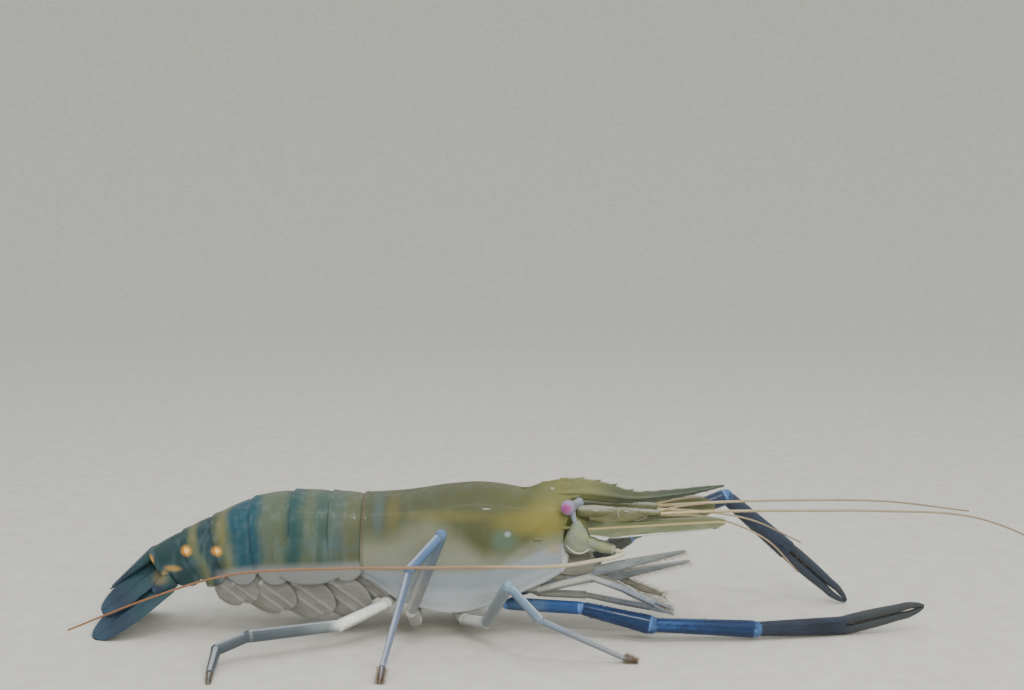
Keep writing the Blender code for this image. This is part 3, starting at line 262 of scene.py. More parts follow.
# Palps that reach forward and down from the mouth
PALP_JOINTS = ((76, 6.0, 21.5), (87, 7.6, 20.6), (100.5, 8.0, 13.6), (111.5, 8.2, 9.4))
PALP_RADII = ((0.0, 1.4), (0.3, 1.5), (0.34, 1.25), (0.62, 1.5), (0.66, 1.2), (0.8, 1.5), (1.0, 0.4))

# Tail fan and swimmerets
TELSON = ((-80.5, 0, 27.8), (-96.2, 0, 15.0))
TELSON_WIDTHS = ((-0.06, 4.8), (0, 5.2), (0.3, 4.4), (0.7, 3.0), (0.93, 2.0), (1.0, 0.4))
FAN_BLADES = {
    "uropod_endopod": ((-77.4, 4.4, 23.2), (-98.2, 9.2, 8.2), 6.2, 0.85),
    "uropod_exopod": ((-73.2, 7.8, 19.0), (-99.8, 15.8, 0.2), 7.4, 0.80),
}
FAN_STEM_REACH = (-1.9, 6.5)
FAN_STEM_RADII = ((0, 3.3), (0.4, 3.4), (0.8, 2.7), (1.0, 1.6))
SWIMMERETS = ((12.0, 4.2), (19.5, 5.4), (19.5, 5.6), (16.5, 5.2), (11.5, 4.4))
SWIMMERET_BLADES = ((1.08, -0.6, 0.9, 1.35), (0.95, 5.4, 2.1, 1.15))
SWIMMERET_STEM = ((0, 2.0), (0.2, 2.3), (0.8, 2.1), (0.95, 2.0), (1, 1.2))
SWIMMERET_DROP = 6.6
SWIMMERET_AHEAD = (0.80, 0.0, -0.60)
SWIMMERET_ACROSS = (0.57, 0.32, 0.76)

# Colours, linear, in thousandths
OLIVE_DARK = (80, 88, 45)
OLIVE_YELLOW = (235, 200, 45)
LAVENDER_GREY = (275, 308, 330)
BELLY_WHITE = (500, 530, 555)
TEAL = (15, 70, 98)
NAVY = (17, 50, 58)
PLEURA_GREY = (250, 255, 250)
ORANGE = (720, 340, 50)
BROWN = (160, 85, 40)
CREAM = (920, 920, 840)
SLATE = (82, 103, 112)
BLUE_LEG = (100, 190, 340)
LILAC = (400, 395, 410)
COBALT = (26, 72, 200)
ARM_NAVY = (16, 36, 95)
CLAW_NAVY = (30, 40, 64)
CLAW_DARK = (22, 27, 38)
FINGER_GREY = (46, 52, 55)
JOINT_BLUE = (130, 280, 600)
GOLD = (500, 370, 150)
RUST = (270, 115, 55)
MAGENTA = (380, 70, 250)
EYE_RING = (270, 240, 360)
PALE_SHELL = (480, 490, 430)

# Colours along the shells, as (place, colour) stops
CARAPACE_BACK = ((0.0, (78, 85, 48)), (0.20, (82, 86, 40)), (0.42, (100, 104, 40)), (0.55, (175, 175, 60)),
                 (0.66, (190, 195, 85)), (0.80, (110, 122, 75)), (1.0, (78, 98, 75)))
CARAPACE_COVER = ((0.0, BELLY_WHITE), (0.15, (390, 425, 455)), (0.30, (285, 320, 350)),
                  (0.44, LAVENDER_GREY), (0.54, (235, 248, 190)), (1.0, (190, 200, 130)))
TAIL_STOPS = ((0.0, (30, 66, 66)), (0.3, (32, 70, 85)), (0.7, (26, 40, 68)), (1.0, (40, 76, 120)))
EYE_STOPS = ((0.0, EYE_RING), (0.70, EYE_RING), (0.79, (280, 150, 290)), (0.87, MAGENTA),
             (1.0, (260, 45, 180)))
LEG_STOPS = {
    "leg_1": ((0.0, PALE_SHELL), (0.35, (500, 500, 440)), (0.5, (420, 430, 400)), (0.62, (260, 290, 330)),
              (1.0, (220, 260, 300))),
    "leg_3": ((0.0, PALE_SHELL), (0.28, (460, 470, 430)), (0.38, (260, 300, 310)), (0.47, (230, 290, 330)),
              (0.50, (240, 380, 480)), (0.54, (130, 220, 320)), (0.68, (180, 230, 300)),
              (0.80, (270, 280, 310)), (1.0, (200, 110, 60))),
    "leg_4": ((0.0, PALE_SHELL), (0.28, (550, 530, 460)), (0.38, (380, 370, 340)), (0.46, (170, 230, 300)),
              (0.50, BLUE_LEG), (0.60, (80, 150, 290)), (0.70, (125, 170, 260)), (0.84, (170, 200, 290)),
              (0.92, (200, 180, 200)), (1.0, (170, 80, 40))),
    "leg_5": ((0.0, PALE_SHELL), (0.18, CREAM), (0.33, CREAM), (0.36, (200, 230, 230)), (0.42, SLATE),
              (0.50, (64, 80, 92)), (0.85, (62, 76, 90)), (1.0, (60, 70, 85))),
}
FEELER_STOPS = {
    "feeler_long": ((0.0, (620, 560, 400)), (0.12, (500, 420, 290)), (0.35, (300, 200, 130)),
                    (0.6, (260, 150, 90)), (1.0, RUST)),
    "feeler_first": ((0.0, (600, 500, 280)), (0.3, (400, 340, 220)), (1.0, (300, 220, 150))),
}

# Clear shells and hairs: colour, streaks, rim (also a painted highlight along the top of round tubes), then
# light under the surface, midrib and root (a painted highlight on the swimmerets)
CLEAR_SHELLS = {
    "setae_brown": ((170, 110, 65), (250, 190, 120), (130, 90, 55), 0.0),
    "setae_dark": ((50, 60, 62), (80, 80, 75), NAVY, 0.0),
    "antennule_shell": ((95, 100, 42), (155, 155, 80), (420, 430, 360)),
    "scale_shell": ((110, 124, 55), (155, 165, 85), (500, 530, 460), 0.15, GOLD),
    "antenna_base_shell": ((240, 260, 140), (200, 230, 180), (740, 720, 580)),
    "mouth_shell": ((210, 210, 170), (270, 260, 210), (360, 350, 300)),
    "jaw_leg_shell": ((260, 310, 325), (340, 380, 390), PALE_SHELL),
    "eyestalk_shell": ((200, 240, 300), (300, 330, 380), LILAC),
    # Swimmerets: the pale root colour is a painted highlight at the base of each blade.
    "swimmeret_shell": ((205, 203, 178), (265, 260, 246), (210, 190, 165), 0.10,
                        (340, 340, 325), (600, 600, 560)),
}

# Patches of the shell in side view: centre, radii, weight and colour; one is a painted highlight
CARAPACE_PATCHES = (
    ((66.0, 43.5), (12.0, 9.5), 0.60, OLIVE_YELLOW),
    ((56.0, 43.0), (13.0, 6.0), 0.45, OLIVE_YELLOW),
    ((69.3, 32.8), (4.5, 3.0), 0.60, (350, 270, 150)),
    ((50.8, 37.1), (6.8, 5.8), 0.80, (100, 148, 108)),
    # Painted highlight: a small pale-blue glint on the green patch
    ((52.4, 39.2), (1.7, 1.3), 0.50, (420, 520, 560)),
    ((43.5, 49.4), (9.0, 3.2), 0.50, OLIVE_DARK),
    ((10.6, 46.0), (3.8, 8.5), 0.50, (150, 125, 35)),
    ((5.2, 45.5), (3.0, 11.0), 0.50, (80, 125, 130)),
    ((31.0, 45.5), (24.0, 3.0), 0.28, OLIVE_YELLOW),
)
ABDOMEN_PATCHES = (
    ((-52.6, 39.0), (3.2, 8.0), 0.35, (200, 165, 60)),
    ((-63.8, 36.0), (2.8, 6.0), 0.35, (200, 165, 60)),
    ((-53.8, 32.1), (2.9, 2.5), 1.0, ORANGE),
    ((-53.6, 32.3), (1.4, 1.2), 0.9, (1000, 660, 230)),
    ((-65.7, 31.4), (2.9, 2.6), 1.0, ORANGE),
    ((-65.5, 31.6), (1.4, 1.2), 0.9, (1000, 660, 230)),
    ((-80.6, 26.6), (2.8, 2.9), 1.0, ORANGE),
    ((-71.0, 24.6), (4.6, 1.7), 0.8, (480, 290, 80)),
    ((-74.2, 21.4), (2.2, 3.2), 0.7, (480, 320, 110)),
)
# Bands of the hind body, by ring number
ABDOMEN_BANDS = (
    (0.0, (100, 108, 58)), (0.45, (100, 110, 60)), (0.75, (80, 108, 88)),
    (1.2, (52, 92, 75)), (1.55, (96, 120, 75)), (1.95, (24, 70, 70)),
    (2.32, (95, 118, 70)), (2.68, (100, 125, 85)), (2.98, TEAL), (3.45, TEAL),
    (3.75, (140, 150, 70)), (3.95, (60, 80, 55)), (4.12, (14, 42, 55)),
    (4.42, (20, 52, 60)), (4.66, (120, 142, 70)), (4.98, NAVY), (6.0, NAVY),
)

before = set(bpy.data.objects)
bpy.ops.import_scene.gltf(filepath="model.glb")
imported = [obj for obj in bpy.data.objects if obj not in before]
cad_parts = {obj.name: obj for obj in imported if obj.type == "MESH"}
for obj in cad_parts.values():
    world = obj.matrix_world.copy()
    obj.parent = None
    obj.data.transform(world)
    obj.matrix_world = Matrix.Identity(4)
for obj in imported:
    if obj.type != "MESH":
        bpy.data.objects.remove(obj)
cad_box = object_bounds()
random = np.random.default_rng(RANDOM_SEED)


def between(one, two, t):
    """Value or point a share t of the way from one to two."""
    return one + (two - one) * t


def step(value, low, high):
    """0 below low, 1 above high and a smooth rise between."""
    t = clip((value - low) / (high - low), 0.0, 1.0)
    return t * t * (3 - 2 * t)


def hump(value, width):
    """1 where the value is 0, falling away smoothly over the width."""
    return exp(-(value / width) ** 2)


def unit(vectors):
    """Vectors scaled to length one."""
    vectors = array(vectors, dtype=float)
    return vectors / maximum(np.linalg.norm(vectors, axis=-1, keepdims=True), 1e-9)


def mirrored(points, side):
    """Points given on the left side, moved to the side asked for."""
    return array(points, dtype=float) * (1, side, 1)


def spaced(*runs):
    """Places in runs that join up, each given as its start, end and count."""
    return concatenate([linspace(*run)[:-1] for run in runs] + [[runs[-1][1]]])


def smooth(points, place):
    """Height at one place, or many, on the smooth line through a few (place, height) points."""
    places, heights = array(points, dtype=float).T
    slopes = np.gradient(heights, places)
    place = clip(place, places[0], places[-1])
    index = clip(np.searchsorted(places, place, side="right") - 1, 0, len(places) - 2)
    run = places[index + 1] - places[index]
    t = (place - places[index]) / run
    rise = heights[index + 1] - heights[index]
    first, last = run * slopes[index], run * slopes[index + 1]
    return heights[index] + t * (first + t * (3 * rise - 2 * first - last + t * (first + last - 2 * rise)))


def linear(points, place):
    """Height at one place, or many, on the straight lines through (place, height) points."""
    return interp(place, *array(points).T)


def travelled(path):
    """Distance from a path's start to each of its points."""
    return concatenate([[0.0], np.cumsum(np.linalg.norm(np.diff(path, axis=0), axis=1))])


def resampled(values, travel, places):
    """Values known at distances travelled, read off at other places."""
    return stack([interp(places, travel, values[:, axis]) for axis in range(3)], axis=1)


def smooth_path(points, count, first=0.0, last=1.0):
    """Evenly spaced points over a share of the smooth curve through a few points."""
    points = array(points, dtype=float)
    steps = travelled(points)
    fine = linspace(0, steps[-1], 2000)
    curve = stack([smooth(column_stack([steps, points[:, axis]]), fine) for axis in range(3)], axis=1)
    travel = travelled(curve)
    return resampled(curve, travel, linspace(first * travel[-1], last * travel[-1], count))


def path_frames(path, up=(0, 0, 1)):
    """Direction, side and up at each point of a path, turned as little as possible along it."""
    ahead = unit(np.gradient(path, axis=0))
    lifts = [array(up, dtype=float)]
    for way in ahead:
        lifts.append(unit(lifts[-1] - way * lifts[-1].dot(way)))
    lifts = array(lifts[1:])
    return ahead, cross(lifts, ahead), lifts


def around_limb(start, end, radii, turn, t):
    """Places round a straight limb, the way outwards at each, and the limb's direction."""
    ahead, side, lift = (axis[0] for axis in path_frames(array((start, end))))
    outward = side * cos(turn)[:, None] + lift * sin(turn)[:, None]
    return between(start, end, t[:, None]) + outward * between(*radii, t)[:, None], outward, ahead


def ring_faces(index):
    """Faces between rows of point numbers that each close into a ring."""
    after = np.roll(index, -1, axis=1)
    return stack([index[:-1], after[:-1], after[1:], index[1:]], axis=-1).reshape(-1, 4)


def sheet_place(numbers, columns):
    """Column and row of each number on a sheet that is filled row by row."""
    return stack([numbers % columns, numbers // columns], axis=1)


def placed(name, data):
    """New object of the scene for a mesh, a lamp or a camera."""
    made = bpy.data.objects.new(name, data)
    bpy.context.scene.collection.objects.link(made)
    return made


class Piece:
    """Points, faces and markings of one piece, gathered part by part."""

    def __init__(self):
        self.points = []
        self.faces = []
        self.marks = []
        self.patches = []
        self.hairs = 0
        self.count = 0

    def add(self, points, faces, along, tone):
        """Add points with their two markings, and faces numbered from the first of them."""
        self.faces.extend([corner + self.count for corner in face] for face in faces)
        self.points.append(points)
        self.marks.append([broadcast_to(mark, len(points)) for mark in (along, tone)])
        self.count += len(points)

    def grid(self, points, along=0.0, tone=0.5):
        """Skin over rows of points that each close into a ring, with a cap on each end."""
        index = arange(points[..., 0].size).reshape(points.shape[:2])
        marks = [broadcast_to(mark, index.shape).ravel() for mark in (along, tone)]
        faces = ring_faces(index).tolist()
        points = points.reshape(-1, 3)
        for hub, ring in enumerate(index[[0, -1]].tolist(), index.size):
            points = vstack([points, points[ring].mean(axis=0)])
            marks = [np.append(mark, mark[ring[0]]) for mark in marks]
            faces += [(corner, after, hub) for corner, after in zip(ring, ring[1:] + ring[:1])]
        self.add(points, faces, *marks)

    def tube(self, path, radii, sides=16, up=(0, 0, 1), flat=1.0, along=(0.0, 1.0), tone=None):
        """Tube along a path; flat squeezes it in the up direction; along is its two end marks or all."""
        radii, flat = (broadcast_to(value, len(path))[:, None, None] for value in (radii, flat))
        ahead, side, lift = path_frames(path, up)
        turn = 2 * pi * arange(sides)[:, None] / sides
        points = path[:, None] + radii * (side[:, None] * cos(turn) + lift[:, None] * sin(turn) * flat)
        steps = linspace(*along, len(path)) if len(along) == 2 else along
        # By default the tone mark runs from 0 under the tube to 1 along its top; the leg and clear-shell
        # paints use it for painted highlight and painted shade.
        self.grid(points, steps[:, None], 0.5 + 0.5 * sin(turn[:, 0]) if tone is None else tone)

    def rod(self, start, end, profile, count, sides, **looks):
        """Straight tube with its radii in (place, radius) points, from 0 at its start to 1 at its end."""
        t = linspace(0, 1, count)
        self.tube(between(start, end, t[:, None]), linear(profile, t), sides, **looks)

    def ball(self, centre, radii, rows=24, sides=32, axis=(0, 0, 1), along=(0.0, 1.0), tone=0.5):
        """Ellipsoid whose last radius lies along the axis; its along mark runs from pole to pole."""
        ahead = unit(axis)
        side = unit(cross((0, 1, 0) if abs(ahead[1]) < 0.9 else (1, 0, 0), ahead))
        tilt = linspace(-pi / 2, pi / 2, rows)[1:-1, None, None]
        turn = 2 * pi * arange(sides)[:, None] / sides
        across = radii[0] * cos(turn) * side + radii[1] * sin(turn) * cross(ahead, side)
        points = centre + cos(tilt) * across + radii[2] * sin(tilt) * ahead
        self.grid(points, linspace(*along, rows - 2)[:, None], tone)

    def vane(self, root, tip, side, half_width, thickness, shape, rows=40, columns=17, arch=0.1, rib=0.0):
        """Thin leaf from root to tip with sharp edges and a midrib; gives both edges and its axes."""
        ahead = unit(tip - root)
        side = unit(side - ahead * ahead.dot(side))
        normal = cross(ahead, side)
        t = 1 - (1 - linspace(0, 1, rows)) ** 1.3
        left, right = shape(t)
        across = linspace(0, 1, columns)
        reach = -left[:, None] + (left + right)[:, None] * across
        half = thickness / 2 * sqrt(maximum(0.0, 1 - abs(2 * across - 1) ** 4)) + rib * hump(reach, 0.10)
        half = half * step(1 - t, -0.02, 0.06)[:, None]
        middle = root + (tip - root) * t[:, None, None] + side * (half_width * reach)[..., None]
        middle = middle + normal * (half_width * arch * (1 - reach ** 2))[..., None]
        raise_by = normal * half[..., None]
        points = concatenate([middle + raise_by, (middle - raise_by)[:, -2:0:-1]], axis=1)
        self.grid(points, t[:, None], concatenate([reach, reach[:, -2:0:-1]], axis=1))
        return middle[:, 0], middle[:, -1], ahead, side

    def bristles(self, roots, directions, lengths, radius, sides=3, along=1.0, tone=0.5):
        """Tapered hairs or spines, each with its own patch of the hairs' map."""
        directions = unit(directions)
        helper = where(abs(directions[:, 2:]) < 0.8, (0.0, 0.0, 1.0), (1.0, 0.0, 0.0))
        side = unit(cross(helper, directions))
        lift = cross(directions, side)
        rings = []
        for place, share in HAIR_PROFILE:
            for turn in 2 * pi * arange(sides) / sides:
                centre = roots + directions * lengths[:, None] * place
                rings.append(centre + radius * share * (side * cos(turn) + lift * sin(turn)))
        index = arange(len(rings)).reshape(-1, sides)
        ends = array((index[0, ::-1], index[-1]))
        first = len(rings) * arange(len(roots))[:, None, None]
        faces = (ring_faces(index) + first).reshape(-1, 4).tolist()
        faces += (ends + first).reshape(-1, sides).tolist()
        patch = sheet_place(self.hairs + arange(len(roots)), PATCH_COLUMNS) * PATCH_STEP
        corner = sheet_place(arange(len(rings)), sides) * PATCH_SIZE / sides
        self.patches.append((patch[:, None] + corner).reshape(-1, 2))
        self.hairs += len(roots)
        self.add(stack(rings, axis=1).reshape(-1, 3), faces, along, tone)

    def finish(self, name, paint, slot, replaced=True):
        """Make the object, paint it and let it stand for the solid of the same name."""
        points = (vstack(self.points) - (MIDDLE_X, MIDDLE_Y, 0.0)) * MM
        mesh = bpy.data.meshes.new("fine_" + name)
        mesh.from_pydata(clip(points, *array(cad_box)).tolist(), [], self.faces)
        for label, values in zip(("along", "tone"), concatenate(self.marks, axis=1)):
            mark = mesh.attributes.new(label, "FLOAT", "POINT")
            mark.data.foreach_set("value", values.astype(np.float32))
        work = bmesh.new()
        work.from_mesh(mesh)
        bmesh.ops.recalc_face_normals(work, faces=work.faces[:])
        work.to_mesh(mesh)
        work.free()
        if not replaced and self.hairs:
            corners = np.empty(len(mesh.loops), dtype=np.int32)
            mesh.loops.foreach_get("vertex_index", corners)
            layer = mesh.uv_layers.new(name="OFBake")
            layer.data.foreach_set("uv", vstack(self.patches)[corners].astype(np.float32).ravel())
        mesh.shade_smooth()
        mesh.set_sharp_from_angle(angle=radians(SHARP_ANGLE))
        mesh.materials.append(bpy.data.materials[paint])
        piece = placed("fine_" + name, mesh)
        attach(piece, "root")
        if replaced:
            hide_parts(name)


def rgba(colour):
    """Four channels of a colour in thousandths; a node's output is left as it is."""
    return colour if isinstance(colour, bpy.types.NodeSocket) else [part / 1000 for part in colour] + [1.0]


class Paint:
    """Node tree of one shell material, written from short calls."""

    def __init__(self, name, roughness=0.45, coat=0.25, subsurface=0.0, specular=0.15):
        self.material = bpy.data.materials.new(name)
        self.material.use_nodes = True
        self.tree = self.material.node_tree
        self.inputs = self.tree.nodes["Principled BSDF"].inputs
        settings = {"Roughness": roughness, "Specular IOR Level": specular, "Coat Weight": coat,
                    "Coat Roughness": 0.09, "Subsurface Weight": subsurface, "Subsurface Scale": 0.002,
                    "Subsurface Radius": (1.0, 0.9, 0.7)}
        for key, value in settings.items():
            self.inputs[key].default_value = value

    def node(self, kind, values, output=0, **settings):
        """Add a node; values set its inputs, by number or name, to a value or another node's output."""
        made = self.tree.nodes.new("ShaderNode" + kind)
        for key, value in settings.items():
            setattr(made, key, value)
        for key, value in values.items():
            if isinstance(value, bpy.types.NodeSocket):
                self.tree.links.new(value, made.inputs[key])
            else:
                made.inputs[key].default_value = value
        return made.outputs[output]

    def math(self, operation, one, two=0.0):
        """One arithmetic step."""
        return self.node("Math", {0: one, 1: two}, operation=operation)

    def vector(self, operation, one, two=(0, 0, 0), output=0):
        """One arithmetic step with vectors."""
        return self.node("VectorMath", {0: one, 1: two}, output, operation=operation)

    def mark(self, name):
        """One of the piece's own markings."""
        return self.node("Attribute", {}, "Fac", attribute_name=name)

    def place(self):
        """Place in millimetres in the body's frame."""
        grown = self.vector("MULTIPLY", self.node("TexCoord", {}, "Object"), (1000, 1000, 1000))
        return self.vector("ADD", grown, (MIDDLE_X, MIDDLE_Y, 0))

    def axes(self):
        """The place's three numbers."""
        return self.node("SeparateXYZ", {0: self.place()}).node.outputs

    def noise(self, size, detail=3.0, stretch=(1, 1, 1)):
        """Noise from 0 to 1 whose features are about the given size in millimetres."""
        vector = self.vector("MULTIPLY", self.place(), stretch)
        return self.node("TexNoise", {"Vector": vector, "Scale": 1.0 / size, "Detail": detail}, "Fac")

    def sway(self, size, detail, reach):
        """Noise about 0."""
        return self.math("MULTIPLY", self.math("SUBTRACT", self.noise(size, detail), 0.5), reach)

    def rise(self, value, low, high, bottom=0.0, top=1.0):
        """Smooth rise of a value from low to high."""
        inputs = {"Value": value, "From Min": low, "From Max": high, "To Min": bottom, "To Max": top}
        return self.node("MapRange", inputs, interpolation_type="SMOOTHSTEP")

    def cloud(self, size, low, high, top=1.0, **looks):
        """Noise with a smooth rise from 0 to the top between two of its values."""
        return self.rise(self.noise(size, **looks), low, high, 0.0, top)

    def window(self, value, low, high, soft):
        """1 between low and high, fading out over the soft width on each side."""
        rise = self.rise(value, low - soft, low + soft)
        return self.math("MULTIPLY", rise, self.rise(value, high - soft, high + soft, 1.0, 0.0))

    def lay(self, colour, shade, *masks):
        """Colour with a shade over it, as strong as the product of the masks."""
        mask = masks[0]
        for other in masks[1:]:
            mask = self.math("MULTIPLY", mask, other)
        return self.node("Mix", {0: mask, 6: rgba(colour), 7: rgba(shade)}, 2, data_type="RGBA")

    def ramp(self, value, stops):
        """Colour that runs through (place, colour) stops."""
        output = self.node("ValToRGB", {0: value})
        ramp = output.node.color_ramp
        ramp.interpolation = "EASE"
        while len(ramp.elements) < len(stops):
            ramp.elements.new(0.5)
        for element, (place, colour) in zip(ramp.elements, stops):
            element.position = place
            element.color = rgba(colour)
        return output

    def blotch(self, colour, centre, radii, weight, shade):
        """Colour with a soft patch over it at a place in side view, alike on both flanks."""
        away = self.vector("SUBTRACT", self.place(), (centre[0], 0, centre[1]))
        away = self.vector("MULTIPLY", away, (1 / radii[0], 0, 1 / radii[1]))
        far = self.vector("LENGTH", away, output="Value")
        return self.lay(colour, shade, self.rise(far, 0.25, 1.0, 1.0, 0.0), weight)

    def bump(self, height, strength, distance):
        """Relief from a height value; distance is in millimetres."""
        inputs = {"Height": height, "Strength": strength, "Distance": distance * MM}
        if self.inputs["Normal"].links:
            inputs["Normal"] = self.inputs["Normal"].links[0].from_socket
        self.tree.links.new(self.node("Bump", inputs), self.inputs["Normal"])

    def grain(self, size, strength, distance, detail=3.0):
        """Relief of noise."""
        self.bump(self.noise(size, detail), strength, distance)

    def finish(self, colour, *roughness):
        """Connect the colour, and a roughness that varies by its noise's size, its least and its most."""
        self.tree.links.new(colour, self.inputs["Base Color"])
        if roughness:
            varied = self.rise(self.noise(roughness[0]), 0.3, 0.7, *roughness[1:])
            self.tree.links.new(varied, self.inputs["Roughness"])


def mottled(paint, colour, dark, amount=0.5, size=1.2):
    """Colour broken up by darker specks and soft clouds, as pigment cells do."""
    specks = paint.cloud(size, 0.52, 0.66, amount, detail=4.0)
    clouds = paint.cloud(size * 7, 0.35, 0.7, amount * 0.6, detail=2.0)
    return paint.lay(paint.lay(colour, dark, specks), dark, clouds)


def carapace_paint():
    """Olive back, yellow and green patches behind the eye, a small painted highlight on the green one, and a
    milky grey gill cover.
    """
    paint = Paint("carapace_shell", coat=0.12, subsurface=0.10)
    x, _, z = paint.axes()
    edge = paint.math("ADD", paint.rise(x, 6.0, 24.0, 38.0, 43.5), paint.rise(x, 25.0, 46.0, 0.0, -12.0))
    edge = paint.math("ADD", edge, paint.rise(x, 46.0, 72.0, 0.0, 6.0))
    height = paint.math("ADD", paint.math("SUBTRACT", z, edge), paint.sway(9.0, 2.0, 5.0))
    back = mottled(paint, paint.ramp(paint.rise(x, -2.0, 135.0), CARAPACE_BACK), OLIVE_DARK, 0.25)
    clouds = paint.cloud(7.0, 0.45, 0.75, 0.35, detail=2.0, stretch=(1.5, 1.0, 0.5))
    back = paint.lay(back, (105, 130, 70), clouds)
    border = paint.math("ADD", z, paint.rise(x, 40.0, 76.0, 0.0, -9.0))
    cover = paint.ramp(paint.rise(border, 8.0, 44.0), CARAPACE_COVER)
    cover = paint.lay(cover, (200, 220, 200), paint.cloud(4.0, 0.45, 0.75, 0.20))
    colour = paint.lay(cover, back, paint.rise(height, -5.5, 5.0))
    for patch in CARAPACE_PATCHES:
        colour = paint.blotch(colour, *patch)
    colour = paint.lay(colour, (150, 90, 60), paint.window(x, -0.7, 0.2, 0.2), 0.4)
    front = paint.window(x, 72.4, 74.6, 0.5)
    colour = paint.lay(colour, (640, 650, 600), front, paint.rise(z, 36.0, 32.0), 0.7)
    paint.grain(0.9, 0.20, 0.10)
    paint.grain(6.0, 0.35, 0.6, 2.0)
    paint.finish(colour, 3.0, 0.38, 0.52)


def abdomen_paint():
    """Soft upright bands of teal and olive, clear grey side lobes and orange spots."""
    paint = Paint("abdomen_shell", coat=0.12, subsurface=0.08)
    ring = paint.mark("along")
    height = paint.mark("tone")
    place = paint.math("DIVIDE", paint.math("ADD", ring, paint.sway(7.0, 3.0, 0.30)), 6.0)
    bands = [(number / 6.0, shade) for number, shade in ABDOMEN_BANDS]
    colour = mottled(paint, paint.ramp(place, bands), OLIVE_DARK, 0.15)
    blue = paint.window(height, 0.40, 0.56, 0.10)
    colour = paint.lay(colour, (70, 130, 150), blue, paint.cloud(5.0, 0.40, 0.60), 0.45)
    colour = paint.lay(colour, PLEURA_GREY, paint.rise(height, 0.30, 0.16), paint.rise(ring, 4.6, 3.8), 0.90)
    streak = paint.cloud(4.5, 0.45, 0.75, 0.18, detail=1.0, stretch=(1.5, 1.5, 0.2))
    colour = paint.lay(colour, (200, 260, 260), streak)
    for patch in ABDOMEN_PATCHES:
        colour = paint.blotch(colour, *patch)
    paint.grain(0.8, 0.20, 0.08)
    paint.grain(5.0, 0.20, 0.3, 2.0)
    paint.finish(colour, 3.0, 0.36, 0.50)


def tail_paint():
    """Dark teal fan, bluer towards its edge, with a few golden streaks at its root."""
    paint = Paint("tail_shell")
    colour = mottled(paint, paint.ramp(paint.mark("along"), TAIL_STOPS), NAVY, 0.5)
    colour = paint.blotch(colour, (-76.0, 20.6), (5.0, 3.0), 0.55, (230, 170, 60))
    ridges = paint.node("TexWave", {"Vector": paint.place(), "Scale": 0.9, "Distortion": 3.0}, "Fac")
    paint.bump(ridges, 0.15, 0.15)
    paint.grain(0.7, 0.25, 0.1)
    paint.finish(colour)


def arm_paint(name, shell, dark, far_end):
    """Blue shell of an arm, bright blue at its joints, with painted shade on the far arm and dark spines."""
    paint = Paint(name, 0.42, 0.30)
    along = paint.mark("along")
    x, y, _ = paint.axes()
    body = paint.lay(shell, dark, paint.cloud(6.0, 0.35, 0.65, detail=2.0, stretch=(0.5, 1, 1)))
    body = mottled(paint, body, dark, 0.6, 0.8)
    body = paint.lay(body, far_end, paint.rise(along, 0.45, 0.65))
    # Painted shade: the far arm darkened towards the far side.
    body = paint.lay(body, (40, 53, 78), paint.rise(y, 6.0, 16.0, 0.0, 0.55))
    # Painted shade: the far arm's part behind the scale painted olive grey, as it shows in the shade there.
    shade_behind_scale = paint.rise(x, 125.0, 100.0, 0.0, 0.85)
    body = paint.lay(body, (150, 155, 125), paint.rise(y, 12.0, 18.0), shade_behind_scale)
    ends = paint.math("MAXIMUM", paint.rise(along, 0.04, 0.0), paint.rise(along, 0.965, 0.985))
    colour = paint.lay(body, JOINT_BLUE, ends, paint.cloud(3.0, 0.30, 0.60), 0.75)
    colour = paint.lay(colour, (12, 14, 20), paint.rise(paint.mark("tone"), SPINE_TONE - 0.1, SPINE_TONE))
    paint.grain(0.5, 0.45, 0.15, 4.0)
    paint.finish(colour, 2.0, 0.34, 0.50)


def leg_paint(name, stops):
    """Walking leg, each segment in its own colour, with a painted highlight along its upper side and painted
    shade below.
    """
    paint = Paint(name, 0.40, 0.65, subsurface=0.06)
    along = paint.mark("along")
    tone = paint.mark("tone")
    colour = mottled(paint, paint.ramp(paint.math("DIVIDE", along, 6.0), stops), SLATE, 0.25, 0.9)
    part = paint.math("FRACT", along)
    ring = paint.math("MAXIMUM", paint.rise(part, 0.04, 0.01), paint.rise(part, 0.95, 0.99))
    colour = paint.lay(colour, PALE_SHELL, ring, 0.22)
    # Painted shade: each segment darkened along its underside, where the tone mark is low.
    colour = paint.lay(colour, (60, 75, 100), paint.rise(tone, 0.62, 0.10, 0.0, 0.60))
    # Painted highlight: a pale streak along each segment's upper side, where the tone mark nears 1.
    colour = paint.lay(colour, (740, 780, 820), paint.rise(tone, 0.90, 1.0, 0.0, 0.38))
    paint.grain(0.6, 0.25, 0.08)
    paint.finish(colour)


def feeler_paint(name, stops):
    """Feeler, browner towards its tip."""
    paint = Paint(name, 0.45, 0.10)
    paint.finish(mottled(paint, paint.ramp(paint.mark("along"), stops), BROWN, 0.25, 0.8))


